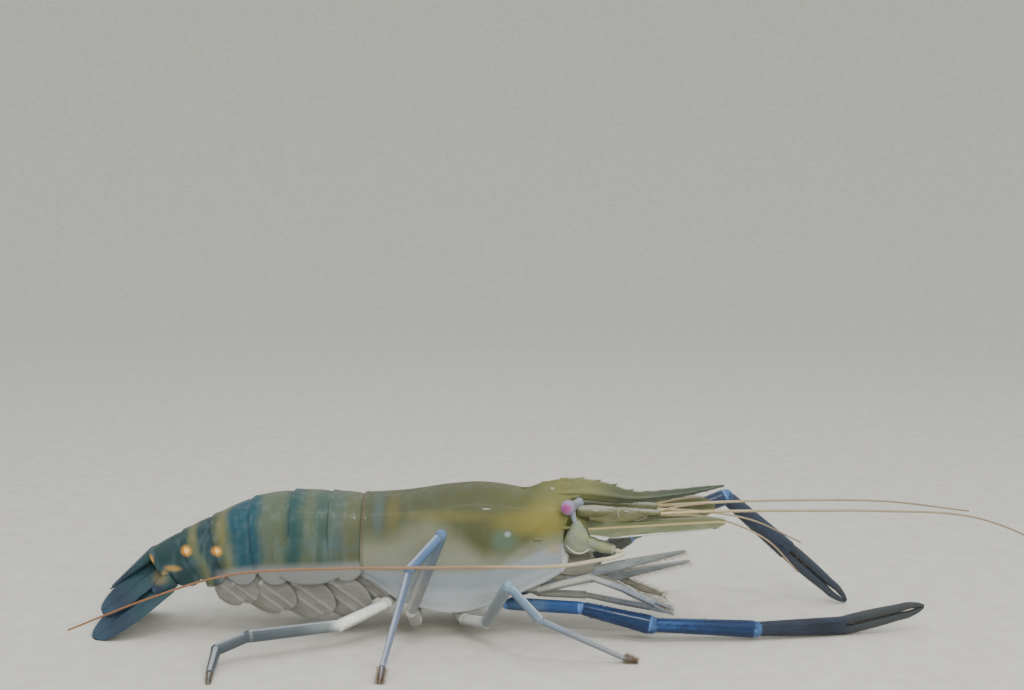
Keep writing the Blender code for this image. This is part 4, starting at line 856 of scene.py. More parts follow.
def clear_paint(name, colour, tint, rim, subsurface=0.15, rib=None, root=None):
    """Milky thin shell with soft streaks, its rim, midrib and root in their own tints; on round tubes the
    rim tint is a painted highlight along the top.
    """
    paint = Paint(name, 0.42, 0.50, subsurface=subsurface)
    tone = paint.mark("tone")
    body = paint.lay(colour, tint, paint.cloud(3.0, 0.35, 0.70, stretch=(0.35, 1, 1)))
    # The rim tint lines the edges of vanes and beads. On round tubes, whose tone is highest on top, it is a
    # painted highlight along the upper side.
    body = paint.lay(body, rim, paint.rise(paint.math("ABSOLUTE", tone), 0.70, 0.98, 0.0, 0.60))
    if rib:
        body = paint.lay(body, rib, paint.window(tone, -0.09, 0.09, 0.06), 0.7)
    # Root tint: on the swimmerets this is a painted highlight at each blade's base.
    if root:
        body = paint.lay(body, root, paint.rise(paint.mark("along"), 0.10, 0.02, 0.0, 0.8))
    paint.grain(0.8, 0.20, 0.08)
    paint.finish(body)


def eye_paint():
    """Magenta eye with a lavender ring and fine facets."""
    paint = Paint("eye_cornea", 0.18, 0.6, specular=0.5)
    facets = paint.node("TexVoronoi", {"Vector": paint.place(), "Scale": 4.5}, "Distance")
    paint.bump(facets, 0.12, 0.05)
    colour = paint.ramp(paint.mark("along"), EYE_STOPS)
    paint.finish(paint.lay(colour, (200, 50, 160), paint.rise(facets, 0.2, 0.7, 0.0, 0.25)))


def closed_ring(half):
    """Whole ring of (side, height) pairs from its left half, which runs from the back to the belly."""
    return vstack([half, half[-2:0:-1] * (-1, 1)])


def raised(points, amounts):
    """Grid of points pushed along its own normals, back where the amount is negative."""
    down = np.gradient(points, axis=0)
    around = np.roll(points, -1, axis=1) - np.roll(points, 1, axis=1)
    return points + unit(cross(down, around)) * amounts[..., None]


def turned_in(ring, turns):
    """Copies of a rim, each shrunk towards the body's middle line and shifted along it."""
    return [ring * (1, share, share) + (shift, 0, MIDDLE_LINE * (1 - share)) for share, shift in turns]


def blade(first, growth, narrowing, least=0.05, power=2.0, bend=0.5):
    """Width shares of a leaf or blade, from its root's share and growth to where it narrows."""
    def shape(t):
        end = maximum(0.0, (t - narrowing) / (1.01 - narrowing)) ** power
        width = maximum(least, minimum(1.0, first + growth * t) * maximum(0.0, 1 - end) ** bend)
        return width, width
    return shape


BLADE = blade(0.42, 1.5, 0.55)
LEAF = blade(0.5, 1.6, 0.35, power=1.7, bend=1.0)
FAN = blade(0.84, 0.5, 0.55)
PADDLE = blade(0.5, 1.6, 0.5, 0.06)


def scale_shape(t):
    """Width shares of the antennal scale, whose outer edge is straight and inner edge curved."""
    round_end = sqrt(maximum(0.0, 1 - maximum(0.0, (t - 0.72) / 0.30) ** 2))
    outer = 0.85 * minimum(1.0, 0.45 + t * 3.0) * (1 - 0.45 * t) * sqrt(maximum(0.0, 1 - t ** 14))
    return maximum(outer, 0.05), maximum(minimum(1.0, 0.35 + t * 2.2) * round_end, 0.06)


def horn(piece, root, direction, length, radius, lift=0.0, flat=1.0, tone=SPINE_TONE, along=0.5):
    """Curved tapering spine, its root sunk below the surface."""
    t = linspace(-0.12, 1, 9)
    out = maximum(t, 0)
    path = root + unit(direction) * (length * t)[:, None]
    path[:, 2] += lift * length * out ** 2
    piece.tube(path, radius * maximum(1 - out ** 1.2, 0.04), 8, (0, 1, 0), flat, (along, along), tone)


def fringe(coat, edge, outward, length, radius=0.055, spacing=0.42):
    """Row of fine hairs along an edge."""
    travel = travelled(edge)
    places = arange(spacing / 2, travel[-1], spacing)
    places = places + random.uniform(-0.3, 0.3, len(places)) * spacing
    ways = unit(outward) + random.normal(0, 0.12, (len(places), 3))
    lengths = length * random.uniform(0.7, 1.15, len(places))
    coat.bristles(resampled(edge, travel, places), ways, lengths, radius)


def fringes(coat, vane, rows, spread, lean, *looks):
    """Hairs on both edges of a vane, from one of its rows to another."""
    left, right, ahead, across = vane
    for edge, outward in ((left, -across), (right, across)):
        fringe(coat, edge[slice(*rows)], outward * spread + ahead * lean, *looks)


def limb_hairs(coat, start, end, radii, rows, count, length, lean=0.9, turns=(0.0, 2 * pi), radius=0.05):
    """Rows of short hairs along a limb segment, leaning towards its tip."""
    turn = np.repeat(linspace(*turns, rows, endpoint=False), count)
    t = np.tile(linspace(0.03, 0.99, count), rows) + random.uniform(-0.4, 0.4, rows * count) / count
    turn = turn + random.uniform(-0.25, 0.25, len(turn))
    roots, outward, ahead = around_limb(start, end, array(radii) * 0.92, turn, t)
    coat.bristles(roots, outward + ahead * lean, length * random.uniform(0.6, 1.2, len(roots)), radius)


def spinules(piece, start, end, radii, rows=9, spacing=1.05, length=0.75, radius=0.24, mark=0.5):
    """Rows of small dark forward-leaning spines all round an arm segment."""
    count = int(np.linalg.norm(end - start) / spacing)
    turn = np.repeat(arange(rows) * 2 * pi / rows, count) + random.uniform(-0.10, 0.10, rows * count)
    t = np.tile((arange(count) + 0.5) / count, rows) + random.uniform(-0.3, 0.3, rows * count) / count
    roots, outward, ahead = around_limb(start, end, array(radii) * 0.93, turn, between(0.04, 0.93, t))
    lengths = length * random.uniform(0.6, 1.15, len(roots))
    piece.bristles(roots, outward + ahead * 0.8, lengths, radius, 4, mark, SPINE_TONE)


def limb_segment(piece, start, end, radii, mark, sides=22, profile=SEGMENT_PROFILE):
    """One shell tube of a limb; its profile runs from the near joint to the far one."""
    t = spaced((-0.03, 0.06, 8), (0.06, 0.88, 26), (0.88, 1.012, 14))
    sizes = between(*radii, clip(t, 0, 1)) * linear(profile, t)
    piece.tube(between(start, end, t[:, None]), sizes, sides, along=mark + clip(t, 0.001, 0.999))


def limb(piece, joints, sizes, growth, toe=None, knobs=()):
    """Segments of a limb, each with its own stretch of marks; a knob is a ball at a segment's far end."""
    for index, (start, end, radii) in enumerate(zip(joints, joints[1:], sizes)):
        profile = TOE_PROFILE if index == toe else SEGMENT_PROFILE
        limb_segment(piece, start, end, radii, index * growth, profile=profile)
        if index in knobs:
            piece.ball(end, (0.98 * radii[1],) * 3, 18, 22, along=(index + 0.94, index + 0.94))


def ringed_whip(piece, path, radii, sides=8, along=(0.0, 1.0)):
    """Feeler made of many short rings, each a little wider at its far end."""
    phase = travelled(path) / WHIP_RING % 1.0
    piece.tube(path, radii * (0.94 + 0.10 * phase), sides, along=along, tone=phase[:, None])


def bead(piece, path, radius, bend, fade, sides=10):
    """Thin raised line in the tone of a rim, which fades out over a share of its length at each end."""
    arch = sin(linspace(fade, 1 - fade, len(path)) * pi) ** bend
    piece.tube(path, radius * arch, sides, tone=RIM_TONE)


def keel_point(line, x, above):
    """Point, or points, in the middle plane at a height above an edge of the rostrum."""
    return stack([x, 0 * x, smooth(line, x) + above], axis=-1)


def carapace_half(x):
    """Left half of the carapace's section, from its back to its rolled lower rim and the belly."""
    top = smooth(BACK_LINE, x)
    low = smooth(LOWER_EDGE, x)
    half = smooth(CARAPACE_WIDTHS, x) * CARAPACE_HALF_WIDTH
    waist = between(low, top, 0.42)
    turn = linspace(0, pi / 2, 46)
    side = half * sin(turn) ** 0.86
    crest = maximum(0.0, smooth(ROSTRUM_TOP, x) - top) * step(x, 52.0, 62.0)
    crest = crest * hump(side, interp(x, (60, 74), (3.0, 1.9)))
    upper = column_stack([side, waist + (top - waist) * cos(turn) ** 0.86 + crest])
    turn = linspace(0, pi / 2, 30)[1:]
    lower = column_stack([half * (0.68 + 0.32 * cos(turn)), waist - (waist - low) * sin(turn)])
    lip = SHELL_LIP * min(1.0, (top - low) / 36.0)
    inner = ((0.655 * half, low + 0.15), (0.64 * half, low + 0.5), (0.60 * half, low + 1.2),
             (0.50 * half, low + lip), (0.25 * half, low + lip + 0.3), (0.0, low + lip + 0.4))
    return vstack([upper, lower, inner])


def carapace_grid():
    """Outer wall of the carapace, turned in at its margins and hollowed behind the eyes."""
    stations = spaced((0, 12, 26), (12, 60, 70), (60, CARAPACE_LENGTH, 40))
    rows = []
    for x in stations:
        ring = closed_ring(carapace_half(x))
        blend = max(0.0, (x - 56.0) / (CARAPACE_LENGTH - 56.0))
        shift = (0.035 * (minimum(ring[:, 1], 50.0) - 36.7) ** 2 - 1.5) * blend * blend
        rows.append(column_stack([x + shift - 0.9 * step(6.0 - x, 0.0, 6.0), ring]))
    grid = array(rows)
    x, y, z = grid[..., 0], abs(grid[..., 1]), grid[..., 2]
    above = z - smooth(LOWER_EDGE, stations)[:, None]
    margins = 0.28 * hump(CARAPACE_LENGTH - stations - 0.6, 0.8) + 0.25 * hump(stations - 0.7, 0.7)
    rim = 0.30 * hump(above - 0.6, 0.8) - 0.20 * hump(above - 2.4, 1.0)
    over = z - 37.5 + 0.62 * (62.0 - x) + 0.012 * (62.0 - x) ** 2
    groove = 0.30 * hump(over - 3.2, 2.2) - 0.35 * hump(over, 1.5)
    groove = groove * step(x, 38.0, 50.0) * step(66.0 - x, 0.0, 5.0)
    gill = 0.45 * hump(x - 30.0, 24.0) * hump(z - 27.0, 11.0)
    grid = raised(grid, margins[:, None] + rim * (y > 5) + groove + gill)
    grid = concatenate([turned_in(grid[0], HIND_TURNS), grid, turned_in(grid[-1], FRONT_TURNS)])
    for side in SIDES.values():
        centre = mirrored(EYE_SOCKET, side)
        away = (grid - centre) / EYE_SOCKET_RADII
        depth = 1 - (away[..., 1:] ** 2).sum(axis=-1)
        wall = centre[0] - EYE_SOCKET_RADII[0] * sqrt(maximum(0.0, depth))
        grid[..., 0] = where(depth > 0, minimum(grid[..., 0], wall), grid[..., 0])
    return grid


def build_carapace(coat):
    """Carapace with its rostrum, their teeth and the spines beside the eyes."""
    piece = Piece()
    piece.grid(carapace_grid())
    piece.ball(FACE, FACE_RADII, 30, 40, (1, 0, 0))
    share = linspace(0, 1, 22)
    wide = linear(ROSTRUM_PROFILE, share)
    rows = []
    for x in linspace(60, ROSTRUM_TIP, 150):
        top = smooth(ROSTRUM_TOP, x)
        low = smooth(ROSTRUM_LOW, x)
        keel = 1.9 * (1 - step(x, 74.0, 96.0)) * hump((1 - share) * (top - low) - 1.5, 3.2)
        side = linear(ROSTRUM_THICKNESS, x) * wide + keel
        half = vstack([(0.0, top + 0.05), column_stack([side, between(top, low, share)]), (0.0, low - 0.05)])
        rows.append(np.insert(closed_ring(half), 0, x, axis=1))
    piece.grid(array(rows))
    shares = linspace(0, 1, DORSAL_TEETH)
    places = between(58.0, 127.0, shares ** 0.92)
    for t, root in zip(shares, keel_point(ROSTRUM_TOP, places, -0.35)):
        horn(piece, root, (1.0, 0, 0.26), between(3.0, 2.0, t), between(0.85, 0.5, t), 0.06, 0.55, 0.5)
    for here, after in zip(places, places[1:]):
        edge = keel_point(ROSTRUM_TOP, linspace(here + 1.8, after + 0.2, 9), -0.1)
        fringe(coat, edge, (0.8, 0, 1.0), 0.9, 0.04, 0.35)
    shares = linspace(0, 1, VENTRAL_TEETH)
    for t, root in zip(shares, keel_point(ROSTRUM_LOW, between(88.0, 126.0, shares), 0.35)):
        horn(piece, root, (1.0, 0, -0.22), between(2.2, 1.5, t), between(0.6, 0.45, t), -0.04, 0.5, 0.5)
    for side in SIDES.values():
        horn(piece, mirrored(ANTENNAL_SPINE, side), (1.0, 0.12 * side, 0.08), 4.4, 0.85, 0.0, 0.8, 0.5)
        horn(piece, mirrored(HEPATIC_SPINE, side), (1.0, 0.25 * side, 0.05), 3.6, 0.85, 0.0, 0.8, 0.5)
    piece.finish("carapace", "carapace_shell", "carapace")


def build_sternum():
    """Belly plate between the leg roots, ridged across between each pair."""
    piece = Piece()
    turn = linspace(0, pi / 2, 14)
    rows = []
    for x in linspace(3, 64, 90):
        half = smooth(STERNUM_WIDTHS, x)
        top = smooth(LOWER_EDGE, x) + SHELL_LIP + 1.2
        ridge = 0.35 * cos(2 * pi * (x - 9) / 12.5) * sin(turn)
        height = between(top - 1.5, smooth(STERNUM_LOW, x), sin(turn) ** 1.2) + ridge
        side = column_stack([0.98 * half * cos(turn), height])
        ring = closed_ring(vstack([(0.0, top), (0.6 * half, top), (0.96 * half, top - 0.5), side]))
        rows.append(np.insert(ring, 0, x, axis=1))
    piece.grid(array(rows))
    piece.finish("sternum", "mouth_shell", "belly")


def build_mouth(coat):
    """Mouth field: the upper lip, folded cheek plates and small palps with brushes."""
    piece = Piece()
    piece.ball(MOUTH, MOUTH_RADII, 30, 40, (1, 0, 0))
    piece.ball(LIP, LIP_RADII, 20, 28, (1, 0, 0))
    for side in SIDES.values():
        for *ends, width in CHEEK_PLATES:
            left, right, ahead, across = piece.vane(
                *mirrored(ends, side), (0, 0.4 * side, -1), width, 0.9, BLADE, arch=0.22 * side)
            fringe(coat, right[10:], across + ahead * 0.8, 1.6)
            fringe(coat, left[14:], -across + ahead * 0.8, 1.4)
        path = smooth_path(mirrored(PALP_JOINTS, side), 70)
        sizes = linear(PALP_RADII, linspace(0, 1, 70))
        piece.tube(path, sizes, 20, along=(0.2, 0.9), tone=0.5)
        limb_hairs(coat, path[44], path[-1] + (1.0, 0, -0.3), (1.4, 0.5), 12, 20, 3.4, 1.3)
    piece.finish("mouthparts", "mouth_shell", "belly")


def build_eyes():
    """Stalked eyes that stand out sideways from below the rostrum."""
    for label, side in SIDES.items():
        centre = mirrored(EYE, side)
        root = mirrored(EYESTALK_ROOT, side)
        outward = unit(centre - root)
        eye = Piece()
        eye.ball(centre, (EYE_RADIUS, EYE_RADIUS, EYE_RADIUS * 0.97), 40, 56, outward)
        eye.finish("eye_" + label, "eye_cornea", "eye")
        stalk = Piece()
        stalk.rod(root, centre - outward * EYE_RADIUS * 0.25, EYESTALK_PROFILE, 30, 28)
        stalk.ball(root + (0.4, 0.6 * side, 0.2), (1.9, 1.9, 2.1), 20, 28)
        foot = centre + mirrored(EYESTALK_FOOT, side)
        stalk.tube(smooth_path(foot, 20), linspace(1.1, 0.7, 20))
        stalk.finish("eyestalk_" + label, "eyestalk_shell", "leg")


def build_antennule(label, side, coat):
    """First feeler: a stalk of three segments, its pointed side lobe, and three whips."""
    piece = Piece()
    joints = mirrored(ANTENNULE_JOINTS, side)
    t = linspace(0, 1, 40)
    turn = linspace(0, 2 * pi, 34)
    for index, (start, end, radii) in enumerate(zip(joints, joints[1:], ANTENNULE_RADII)):
        path = between(start - unit(end - start), end, t[:, None])
        sizes = smooth(column_stack([(0, 0.45, 0.9), radii]), t) * linear(ANTENNULE_PROFILE, t)
        piece.tube(path, sizes, 32, flat=0.75, along=(index / 3, (index + 1) / 3))
        ring = column_stack([0 * turn, 1.05 * cos(turn), 0.78 * sin(turn)]) * radii[2]
        fringe(coat, between(path[-3], path[-2], 0.5) + ring, (1, 0, 0), 1.0, 0.04, 0.5)
    lobe = piece.vane(
        *mirrored(ANTENNULE_LOBE, side), (0, 0.35 * side, -1), 3.2, 0.7, LEAF, 50, 19, 0.16 * side)
    fringes(coat, lobe, (18, 50), 1.0, 0.9, 1.5, 0.045, 0.30)
    for middle, across, high, first, last in ANTENNULE_ARCS:
        turn = linspace(first, last, 40) * pi
        arc = column_stack([middle + across * cos(turn), np.full(40, side * 9.5), 44.7 + high * sin(turn)])
        bead(piece, arc, 0.28, 1.0, 0.08)
    piece.finish("antennule_" + label, "antennule_shell", "feeler")
    whips = Piece()
    for line, radii in zip(ANTENNULE_PATHS[label], ANTENNULE_WHIP_RADII):
        line = array(line)
        line = vstack([line[0] - unit(line[1] - line[0]) * 1.2, line])
        path = smooth_path(line, int(travelled(line)[-1] * 4))
        ringed_whip(whips, path, linspace(*radii, len(path)))
    whips.finish("antennule_whips_" + label, "feeler_first", "feeler", replaced=False)


def build_antenna_base(label, side):
    """Round base of the second feeler, its pale rim and the stalk."""
    base = mirrored(ANTENNA_BASE, side)
    piece = Piece()
    rise = linspace(0, 1, 40)
    bell = column_stack([-0.9 * rise, -0.5 * side * rise, between(*BELL_REACH, rise)])
    piece.tube(base + bell, smooth(BELL_PROFILE, rise), 44, (0, 1, 0), tone=0.0)
    piece.ball(base, ANTENNA_BASE_RADII, 36, 48, (0.2, side, 0.1), tone=0.0)
    turn = linspace(-0.1, 1.0, 90) * pi
    rise = 0.09 + 0.26 * cos(turn) ** 2
    reach = smooth(BELL_PROFILE, rise) + 0.05
    rim = column_stack([reach * cos(turn), side * reach * sin(turn), between(*BELL_REACH, rise)])
    bead(piece, base + rim, 0.34, 0.6, 0.05)
    tone = 0.82 * step(linspace(0, 1, 60), 0.80, 0.96)[:, None]
    piece.rod(base, mirrored(PEDUNCLE_END, side), PEDUNCLE_PROFILE, 60, 28, flat=0.85, tone=tone)
    horn(piece, base + (2.8, 3.4 * side, -2.6), (1, 0.5 * side, -0.1), 3.4, 0.9, 0.0, 0.8, 0.5)
    piece.finish("antenna_base_" + label, "antenna_base_shell", "scale")


def build_antenna(label, side, coat):
    """Second feeler: its base with the stalk, the broad scale and the long ringed whip."""
    build_antenna_base(label, side)
    root = mirrored(ANTENNA_BASE, side) + mirrored(SCALE_ROOTS[label], side)
    tip = root + mirrored(SCALE_REACHES[label], side)
    lean = (0, -side, SCALE_LEANS[label])
    piece = Piece()
    outer, inner, ahead, across = piece.vane(
        root, tip, lean, SCALE_HALF_WIDTH, 0.9, scale_shape, 110, 37, 0.16, 0.35)
    horn(piece, outer[93] - ahead * 0.6, ahead - across * 0.08, 2.4, 0.5, 0.0, 0.7, 0.5)
    bead(piece, outer[4:94], 0.26, 0.5, 0.06, 8)
    piece.finish("antennal_scale_" + label, "scale_shell", "scale")
    fringe(coat, inner[8:], across + ahead * 0.9, 1.3, 0.035, 0.24)
    for part, first, last in zip(("base", "middle", "tip"), ANTENNA_CUTS, ANTENNA_CUTS[1:]):
        whip = Piece()
        path = smooth_path(ANTENNA_PATH[label], 330, first, last)
        sizes = between(*ANTENNA_RADII, linspace(first, last, 330) ** 0.71)
        ringed_whip(whip, path, sizes, 10, (first, last))
        whip.finish(f"antenna_whip_{part}_{label}", "feeler_long", "feeler")


def build_walking_leg(name, coat):
    """Walking leg of six segments, hairy towards its toe."""
    kind = name[:5]
    joints = array(LEG_JOINTS[name], dtype=float)
    sizes = LEG_RADII[kind]
    piece = Piece()
    limb(piece, joints, sizes, 1, 5, range(1, 5))
    limb_hairs(coat, joints[4], joints[5], sizes[4], 6, 26, 0.7)
    limb_hairs(coat, joints[5], joints[6], sizes[5], 14, 26, TOE_HAIRS[kind], 0.4, radius=0.06)
    piece.finish(name, kind, "leg")


def build_first_leg(name, coat):
    """Slender first leg with a small tufted pincer."""
    joints = array(FIRST_LEG_JOINTS[name], dtype=float)
    piece = Piece()
    limb(piece, joints, FIRST_LEG_RADII, 1.4)
    wrist = joints[-1]
    ahead = unit(wrist - joints[-2])
    t = linspace(-0.12, 1, 30)
    sizes = interp(t, (-0.12, 0, 0.5, 0.9, 1.0), (0.5, 0.66, 0.55, 0.38, 0.12))
    for lift in (0.55, -0.55):
        start = wrist + (0, 0, lift)
        tip = wrist + ahead * FIRST_LEG_FINGER + (0, 0, lift * 1.4)
        path = between(start, tip, t[:, None])
        path[:, 2] += lift * 0.55 * sin(pi * clip(t, 0, 1))
        piece.tube(path, sizes, 14, along=(5.2, 6.0), tone=0.5)
        limb_hairs(coat, start, tip, (0.6, 0.3), 6, 16, 0.8)
    limb_hairs(coat, joints[3], wrist, FIRST_LEG_RADII[3], 5, 14, 0.8)
    piece.finish(name, "leg_1", "leg")


def build_arm(label, coat):
    """Big arm: three long segments and the claw."""
    joints = array(ARM_JOINTS[label], dtype=float)
    for start, end, (segment, shell, radii, spines) in zip(joints, joints[1:], ARM_SEGMENTS):
        piece = Piece()
        limb_segment(piece, start, end, radii, 0.0, 30)
        piece.ball(end, (0.95 * radii[1],) * 3, 22, 28, along=(0.975, 0.975))
        spinules(piece, start, end, radii, *spines)
        piece.finish(f"arm_{segment}_{label}", shell, "arm")
    build_claw(label, *joints[3:], coat)


def build_claw(label, wrist, knuckle, tip, coat):
    """Palm of a big arm with its fixed finger, and the moving finger, nearly closed."""
    ahead, across, lift = (axis[0] for axis in path_frames(array((wrist, knuckle))))
    palm = Piece()
    t = linspace(-0.03, 1.03, 70)
    width, height = (interp(t, PALM_PLACES, radii) for radii in PALM_RADII)
    palm.tube(between(wrist, knuckle, t[:, None]), PALM_GROWTH[label] * width, 32, flat=height / width,
              along=0.5 * clip(t, 0, 1), tone=0.5)
    spinules(palm, wrist, knuckle, PALM_SPINE_RADII, 10, 1.0, 0.6, 0.22, 0.3)
    t = linspace(0, 1, 80)
    sizes = FINGER_RADIUS * smooth(FINGER_SHARES, t)
    spread = sizes * FINGER_FLATNESS + FINGER_SLIT * hump(t - 0.80, 0.09) - 0.04
    for level, finger, root_length in ((-1, palm, 2.4), (1, Piece(), 1.2)):
        path = between(knuckle, tip, t[:, None]) + lift * (spread * level)[:, None]
        path[0] -= ahead * root_length
        finger.tube(path, sizes, 22, flat=FINGER_FLATNESS, along=(0.5, 0.9), tone=0.5)
        for share, size in FINGER_TEETH:
            root = between(knuckle, tip, share) + lift * level * 0.4
            horn(finger, root, ahead * 0.3 - lift * level, size, size * 0.7, along=0.6)
        limb_hairs(coat, path[2], path[66], (FINGER_RADIUS, FINGER_RADIUS * 0.6), 12, 52, 0.8)
    finger.ball(knuckle + lift * 1.6 + across * 0.2, (1.9, 1.9, 1.9), 18, 24, along=(0.5, 0.5))
    finger.finish("arm_finger_" + label, "claw_shell", "claw")
    palm.finish("arm_palm_" + label, "claw_shell", "claw")


def build_jaw_leg(label, coat):
    """Third jaw leg, reaching forward below the feeler bases, with brushes along its underside."""
    joints = array(JAW_LEG_JOINTS[label], dtype=float)
    piece = Piece()
    limb(piece, joints, JAW_LEG_RADII, 2, 2, range(2))
    limb_hairs(coat, joints[1], joints[2], JAW_LEG_RADII[1], 6, 30, 1.6, 0.7, (pi, 2 * pi))
    limb_hairs(coat, joints[2], joints[3], JAW_LEG_RADII[2], 9, 44, 2.4, 0.8, (0.9 * pi, 2.1 * pi))
    piece.finish("jaw_leg_" + label, "jaw_leg_shell", "belly")


def ring_sizes(s):
    """Places and half width of the hind body, in the order of the table, at ring number s."""
    return [smooth(column_stack([arange(len(RINGS)), column]), s) for column in array(RINGS).T]


def abdomen_half(lobe):
    """Left half of a ring's section as shares of its width and height, from the back to the belly."""
    turn = linspace(0, pi / 2, 44)
    upper = column_stack([sin(turn) ** 0.88, 0.44 + 0.56 * cos(turn) ** 0.88])
    low = 0.15 * lobe
    t = linspace(0, 1, 26)[1:]
    flank = column_stack([1 - 0.10 * t ** 1.6, between(0.44, low, t)])
    inner = ((0.885, low - 0.012), (0.86, low - 0.008), (0.83, low + 0.02), (0.78, 0.16), (0.72, 0.24),
             (0.40, 0.26), (0.0, 0.27))
    return vstack([upper, flank, inner])


def abdomen_row(index, t):
    """Points round one ring of shell, a share t of the way along it, each with its two marks."""
    side, height = closed_ring(abdomen_half(abs(2 * clip(t, 0.0, 1.0) - 1) ** 2.5)).T
    s = np.full(len(side), index + t)
    flare = linear(RING_FLARE, t)
    if index == WIDE_RING:
        wide = step(height, 0.62, 0.30)
        s = s + wide * 0.5 * (2 * t - 1)
        flare = flare + 0.045 * wide * (1 - abs(2 * t - 1) ** 3)
    back_x, back_z, low_x, low_z, width = ring_sizes(s)
    rise = height * between(1.0, flare, 0.4)
    place = [between(low_x, back_x, rise), side * width * flare, between(low_z, back_z, rise)]
    return column_stack([*place, s, height])


def build_abdomen(coat):
    """Six rings of shell, each lying a little over the front of the next."""
    count = len(RINGS) - 1
    for index in range(count):
        last = 1.0 + RING_OVERLAP * (index < count - 1)
        shares = spaced((-0.05, 0.12, 10), (0.12, 0.9, 40), (0.9, last, 16))
        rows = array([abdomen_row(index, t) for t in shares])
        t = shares[:, None]
        relief = 0.10 * hump(t - 0.80, 0.10) - 0.08 * hump(t - last + 0.03, 0.03)
        relief = relief + 0.20 * hump(t - 0.13, 0.08) * step(rows[..., 4], 0.30, 0.50)
        grid = raised(rows[..., :3], relief)
        centre = grid.mean(axis=1)
        rolled = [between(centre[row], grid[row], share) for row, share in ((-1, 0.975), (-4, 0.93))]
        marks = concatenate([rows, rows[[-1, -1]]])[..., 3:]
        piece = Piece()
        piece.grid(concatenate([grid, rolled]), marks[..., 0], marks[..., 1])
        for side in SIDES.values():
            fringe(coat, grid[4:-2, RING_EDGE_CORNER * side], (0, 0.3 * side, -1), 0.9, 0.045, 0.40)
        piece.finish(f"abdomen_{index + 1}", "abdomen_shell", "abdomen")


def build_telson(coat):
    """Middle plate of the tail with its small spines."""
    root, tip = array(TELSON, dtype=float)
    ahead = unit(tip - root)
    lift = cross(ahead, (0, 1, 0))
    turn = linspace(0, pi / 2, 18)
    shares = linspace(-0.06, 1, 60)
    rows = []
    for t in shares:
        half = linear(TELSON_WIDTHS, t)
        high = interp(t, (-0.06, 1), (2.6, 0.7))
        low = interp(t, (0, 1), (2.4, 0.6))
        side = half * sin(turn)
        upper = column_stack([side, 0.1 + high * cos(turn) ** 0.8 - 0.35 * high / 2.6 * hump(side, 0.9)])
        ring = closed_ring(vstack([upper, (0.9 * half, -0.35 * low), (0.6 * half, -0.8 * low), (0.0, -low)]))
        rows.append(between(root, tip, t) + ring @ array(((0, 1, 0), lift)))
    piece = Piece()
    piece.grid(array(rows), maximum(shares, 0.0)[:, None], 0.0)
    for t in (0.45, 0.70):
        for side in SIDES.values():
            place = between(root, tip, t) + lift * 1.6 + (0, side * 1.7, 0)
            horn(piece, place, ahead + lift * 0.15, 1.7, 0.35, along=0.6, tone=0.0)
    for side in SIDES.values():
        horn(piece, tip + (0.6, side * 1.1, 0.2), ahead + (0, 0.1 * side, 0), 2.0, 0.35, along=0.9, tone=0.0)
    fringe(coat, tip + linspace(-1, 1, 12)[:, None] * (0, 1.5, 0), ahead, 1.6)
    piece.finish("telson", "tail_shell", "tail")


def build_fan(coat):
    """Two pairs of ridged, fringed tail blades, the outer pair on short stems."""
    for kind, (*ends, half_width, steep) in FAN_BLADES.items():
        for label, side in SIDES.items():
            start, end = mirrored(ends, side)
            across = (0.75 * steep, side, -0.66 * steep)
            piece = Piece()
            vane = piece.vane(start, end, across, half_width, 1.1, FAN, 80, 41, 0.10 * side, 0.45)
            if kind == "uropod_exopod":
                stem = start + unit(end - start) * linspace(*FAN_STEM_REACH, 24)[:, None]
                piece.tube(stem, smooth(FAN_STEM_RADII, linspace(0, 1, 24)), 24, tone=0.0)
            fringes(coat, vane, (28, 78), 0.7, 1.0, 1.1, 0.04, 0.24)
            piece.finish(kind + "_" + label, "tail_shell", "tail")


def build_swimmerets(coat):
    """Five pairs of swimmerets, each a short stem with two broad fringed blades laid forward."""
    for index, (length, width) in enumerate(SWIMMERETS):
        low_x, low_z, half = ring_sizes(index + 0.5)[2:]
        for label, side in SIDES.items():
            root = array((low_x - 0.5, side * half * 0.52, low_z + 5.0))
            knee = root + (1.0, side * 0.6, -SWIMMERET_DROP)
            piece = Piece()
            piece.rod(root, knee, SWIMMERET_STEM, 24, 24, up=(1, 0, 0), flat=2.4, along=(0.2, 0.5), tone=0.3)
            for reach, ahead, offset, share in SWIMMERET_BLADES:
                start = knee + (ahead, side * offset, 2.2)
                tip = start + array(SWIMMERET_AHEAD) * length * reach
                across = mirrored(SWIMMERET_ACROSS, side)
                vane = piece.vane(start, tip, across, width * share, 0.7, PADDLE, 44, 21, 0.12, 0.25)
                fringes(coat, vane, (10, 42), 0.8, 1.0, 1.2, 0.045, 0.34)
            piece.finish(f"swimmeret_{index + 1}_{label}", "swimmeret_shell", "swimmeret")


def make_floor():
    """Pale floor that rises softly far away."""
    mesh = bpy.data.meshes.new("floor")
    work = bmesh.new()
    bmesh.ops.create_grid(work, x_segments=90, y_segments=90, size=FLOOR_REACH)
    for vertex in work.verts:
        vertex.co.z = FLOOR_RISE * max(0.0, vertex.co.length - FLOOR_FLAT) ** 2 - FLOOR_GAP
    work.to_mesh(mesh)
    work.free()
    mesh.shade_smooth()
    paint = Paint("floor_pale", 0.8, 0.0, specular=0.1)
    paint.grain(2.0, 0.10, 0.2, 4.0)
    paint.finish(paint.lay((600, 575, 505), (660, 635, 565), paint.cloud(9.0, 0.3, 0.7, detail=5.0)))
    mesh.materials.append(paint.material)
    placed("floor", mesh)


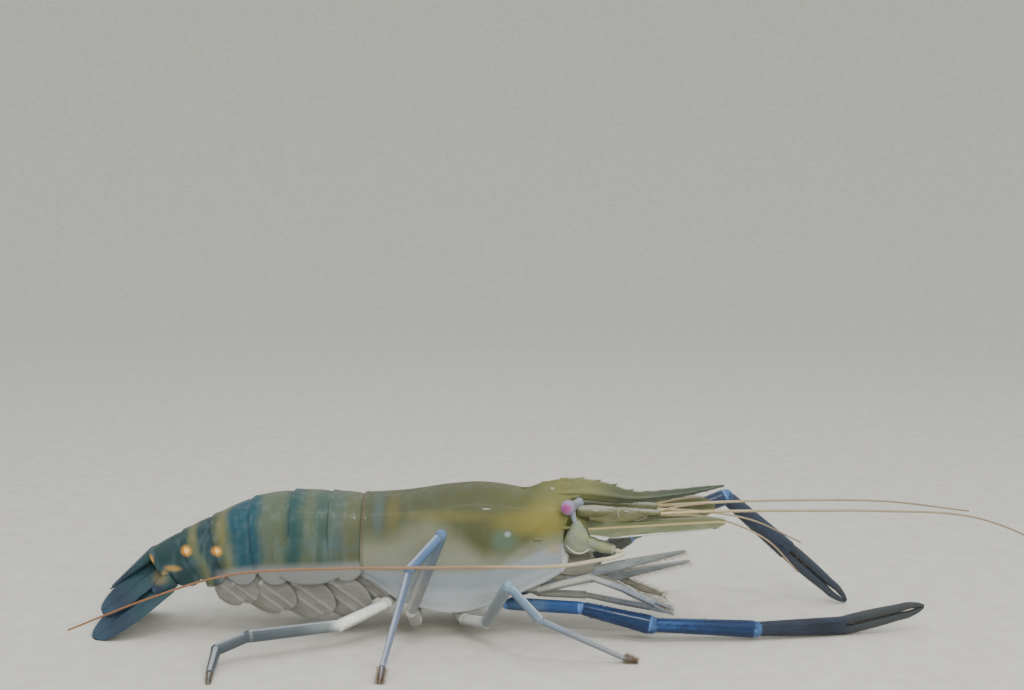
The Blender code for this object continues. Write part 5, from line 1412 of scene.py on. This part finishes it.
def make_light_and_camera():
    """Even daylight, four lamps and the photograph's camera."""
    world = bpy.data.worlds.new("daylight")
    world.use_nodes = True
    sky = world.node_tree.nodes["Background"].inputs
    sky["Color"].default_value = SKY_COLOUR
    sky["Strength"].default_value = SKY_STRENGTH
    bpy.context.scene.world = world
    for name, place, turn, size, power, glossy in LAMPS:
        lamp = bpy.data.lights.new(name, "AREA")
        lamp.energy = power
        lamp.shape = "RECTANGLE"
        lamp.size, lamp.size_y = size
        light = placed(name, lamp)
        light.location = place
        light.rotation_euler = [radians(angle) for angle in turn]
        light.visible_glossy = glossy
    lens = bpy.data.cameras.new("camera")
    lens.lens = CAMERA_LENS
    lens.sensor_width = SENSOR_WIDTH
    lens.clip_start = 0.01
    camera = placed("camera", lens)
    camera.location = CAMERA_PLACE
    camera.rotation_euler = (radians(90.0 - CAMERA_PITCH), 0.0, 0.0)
    bpy.context.scene.camera = camera


carapace_paint()
abdomen_paint()
tail_paint()
eye_paint()
arm_paint("arm_shell", COBALT, ARM_NAVY, ARM_NAVY)
arm_paint("arm_root_shell", (85, 140, 230), (45, 90, 180), COBALT)
arm_paint("claw_shell", CLAW_NAVY, CLAW_DARK, FINGER_GREY)
for name, stops in LEG_STOPS.items():
    leg_paint(name, stops)
for name, stops in FEELER_STOPS.items():
    feeler_paint(name, stops)
for name, looks in CLEAR_SHELLS.items():
    clear_paint(name, *looks)

head_coat = Piece()
limb_coat = Piece()
tail_coat = Piece()
build_carapace(head_coat)
build_sternum()
build_mouth(head_coat)
build_eyes()
for label, side in SIDES.items():
    build_antennule(label, side, head_coat)
    build_antenna(label, side, head_coat)
    build_arm(label, limb_coat)
    build_jaw_leg(label, head_coat)
for name in LEG_JOINTS:
    build_walking_leg(name, limb_coat)
for name in FIRST_LEG_JOINTS:
    build_first_leg(name, limb_coat)
build_abdomen(tail_coat)
build_telson(tail_coat)
build_fan(tail_coat)
build_swimmerets(tail_coat)
head_coat.finish("setae_head", "setae_brown", "feeler", replaced=False)
limb_coat.finish("setae_limbs", "setae_brown", "leg", replaced=False)
tail_coat.finish("setae_tail", "setae_dark", "tail", replaced=False)
make_floor()
make_light_and_camera()
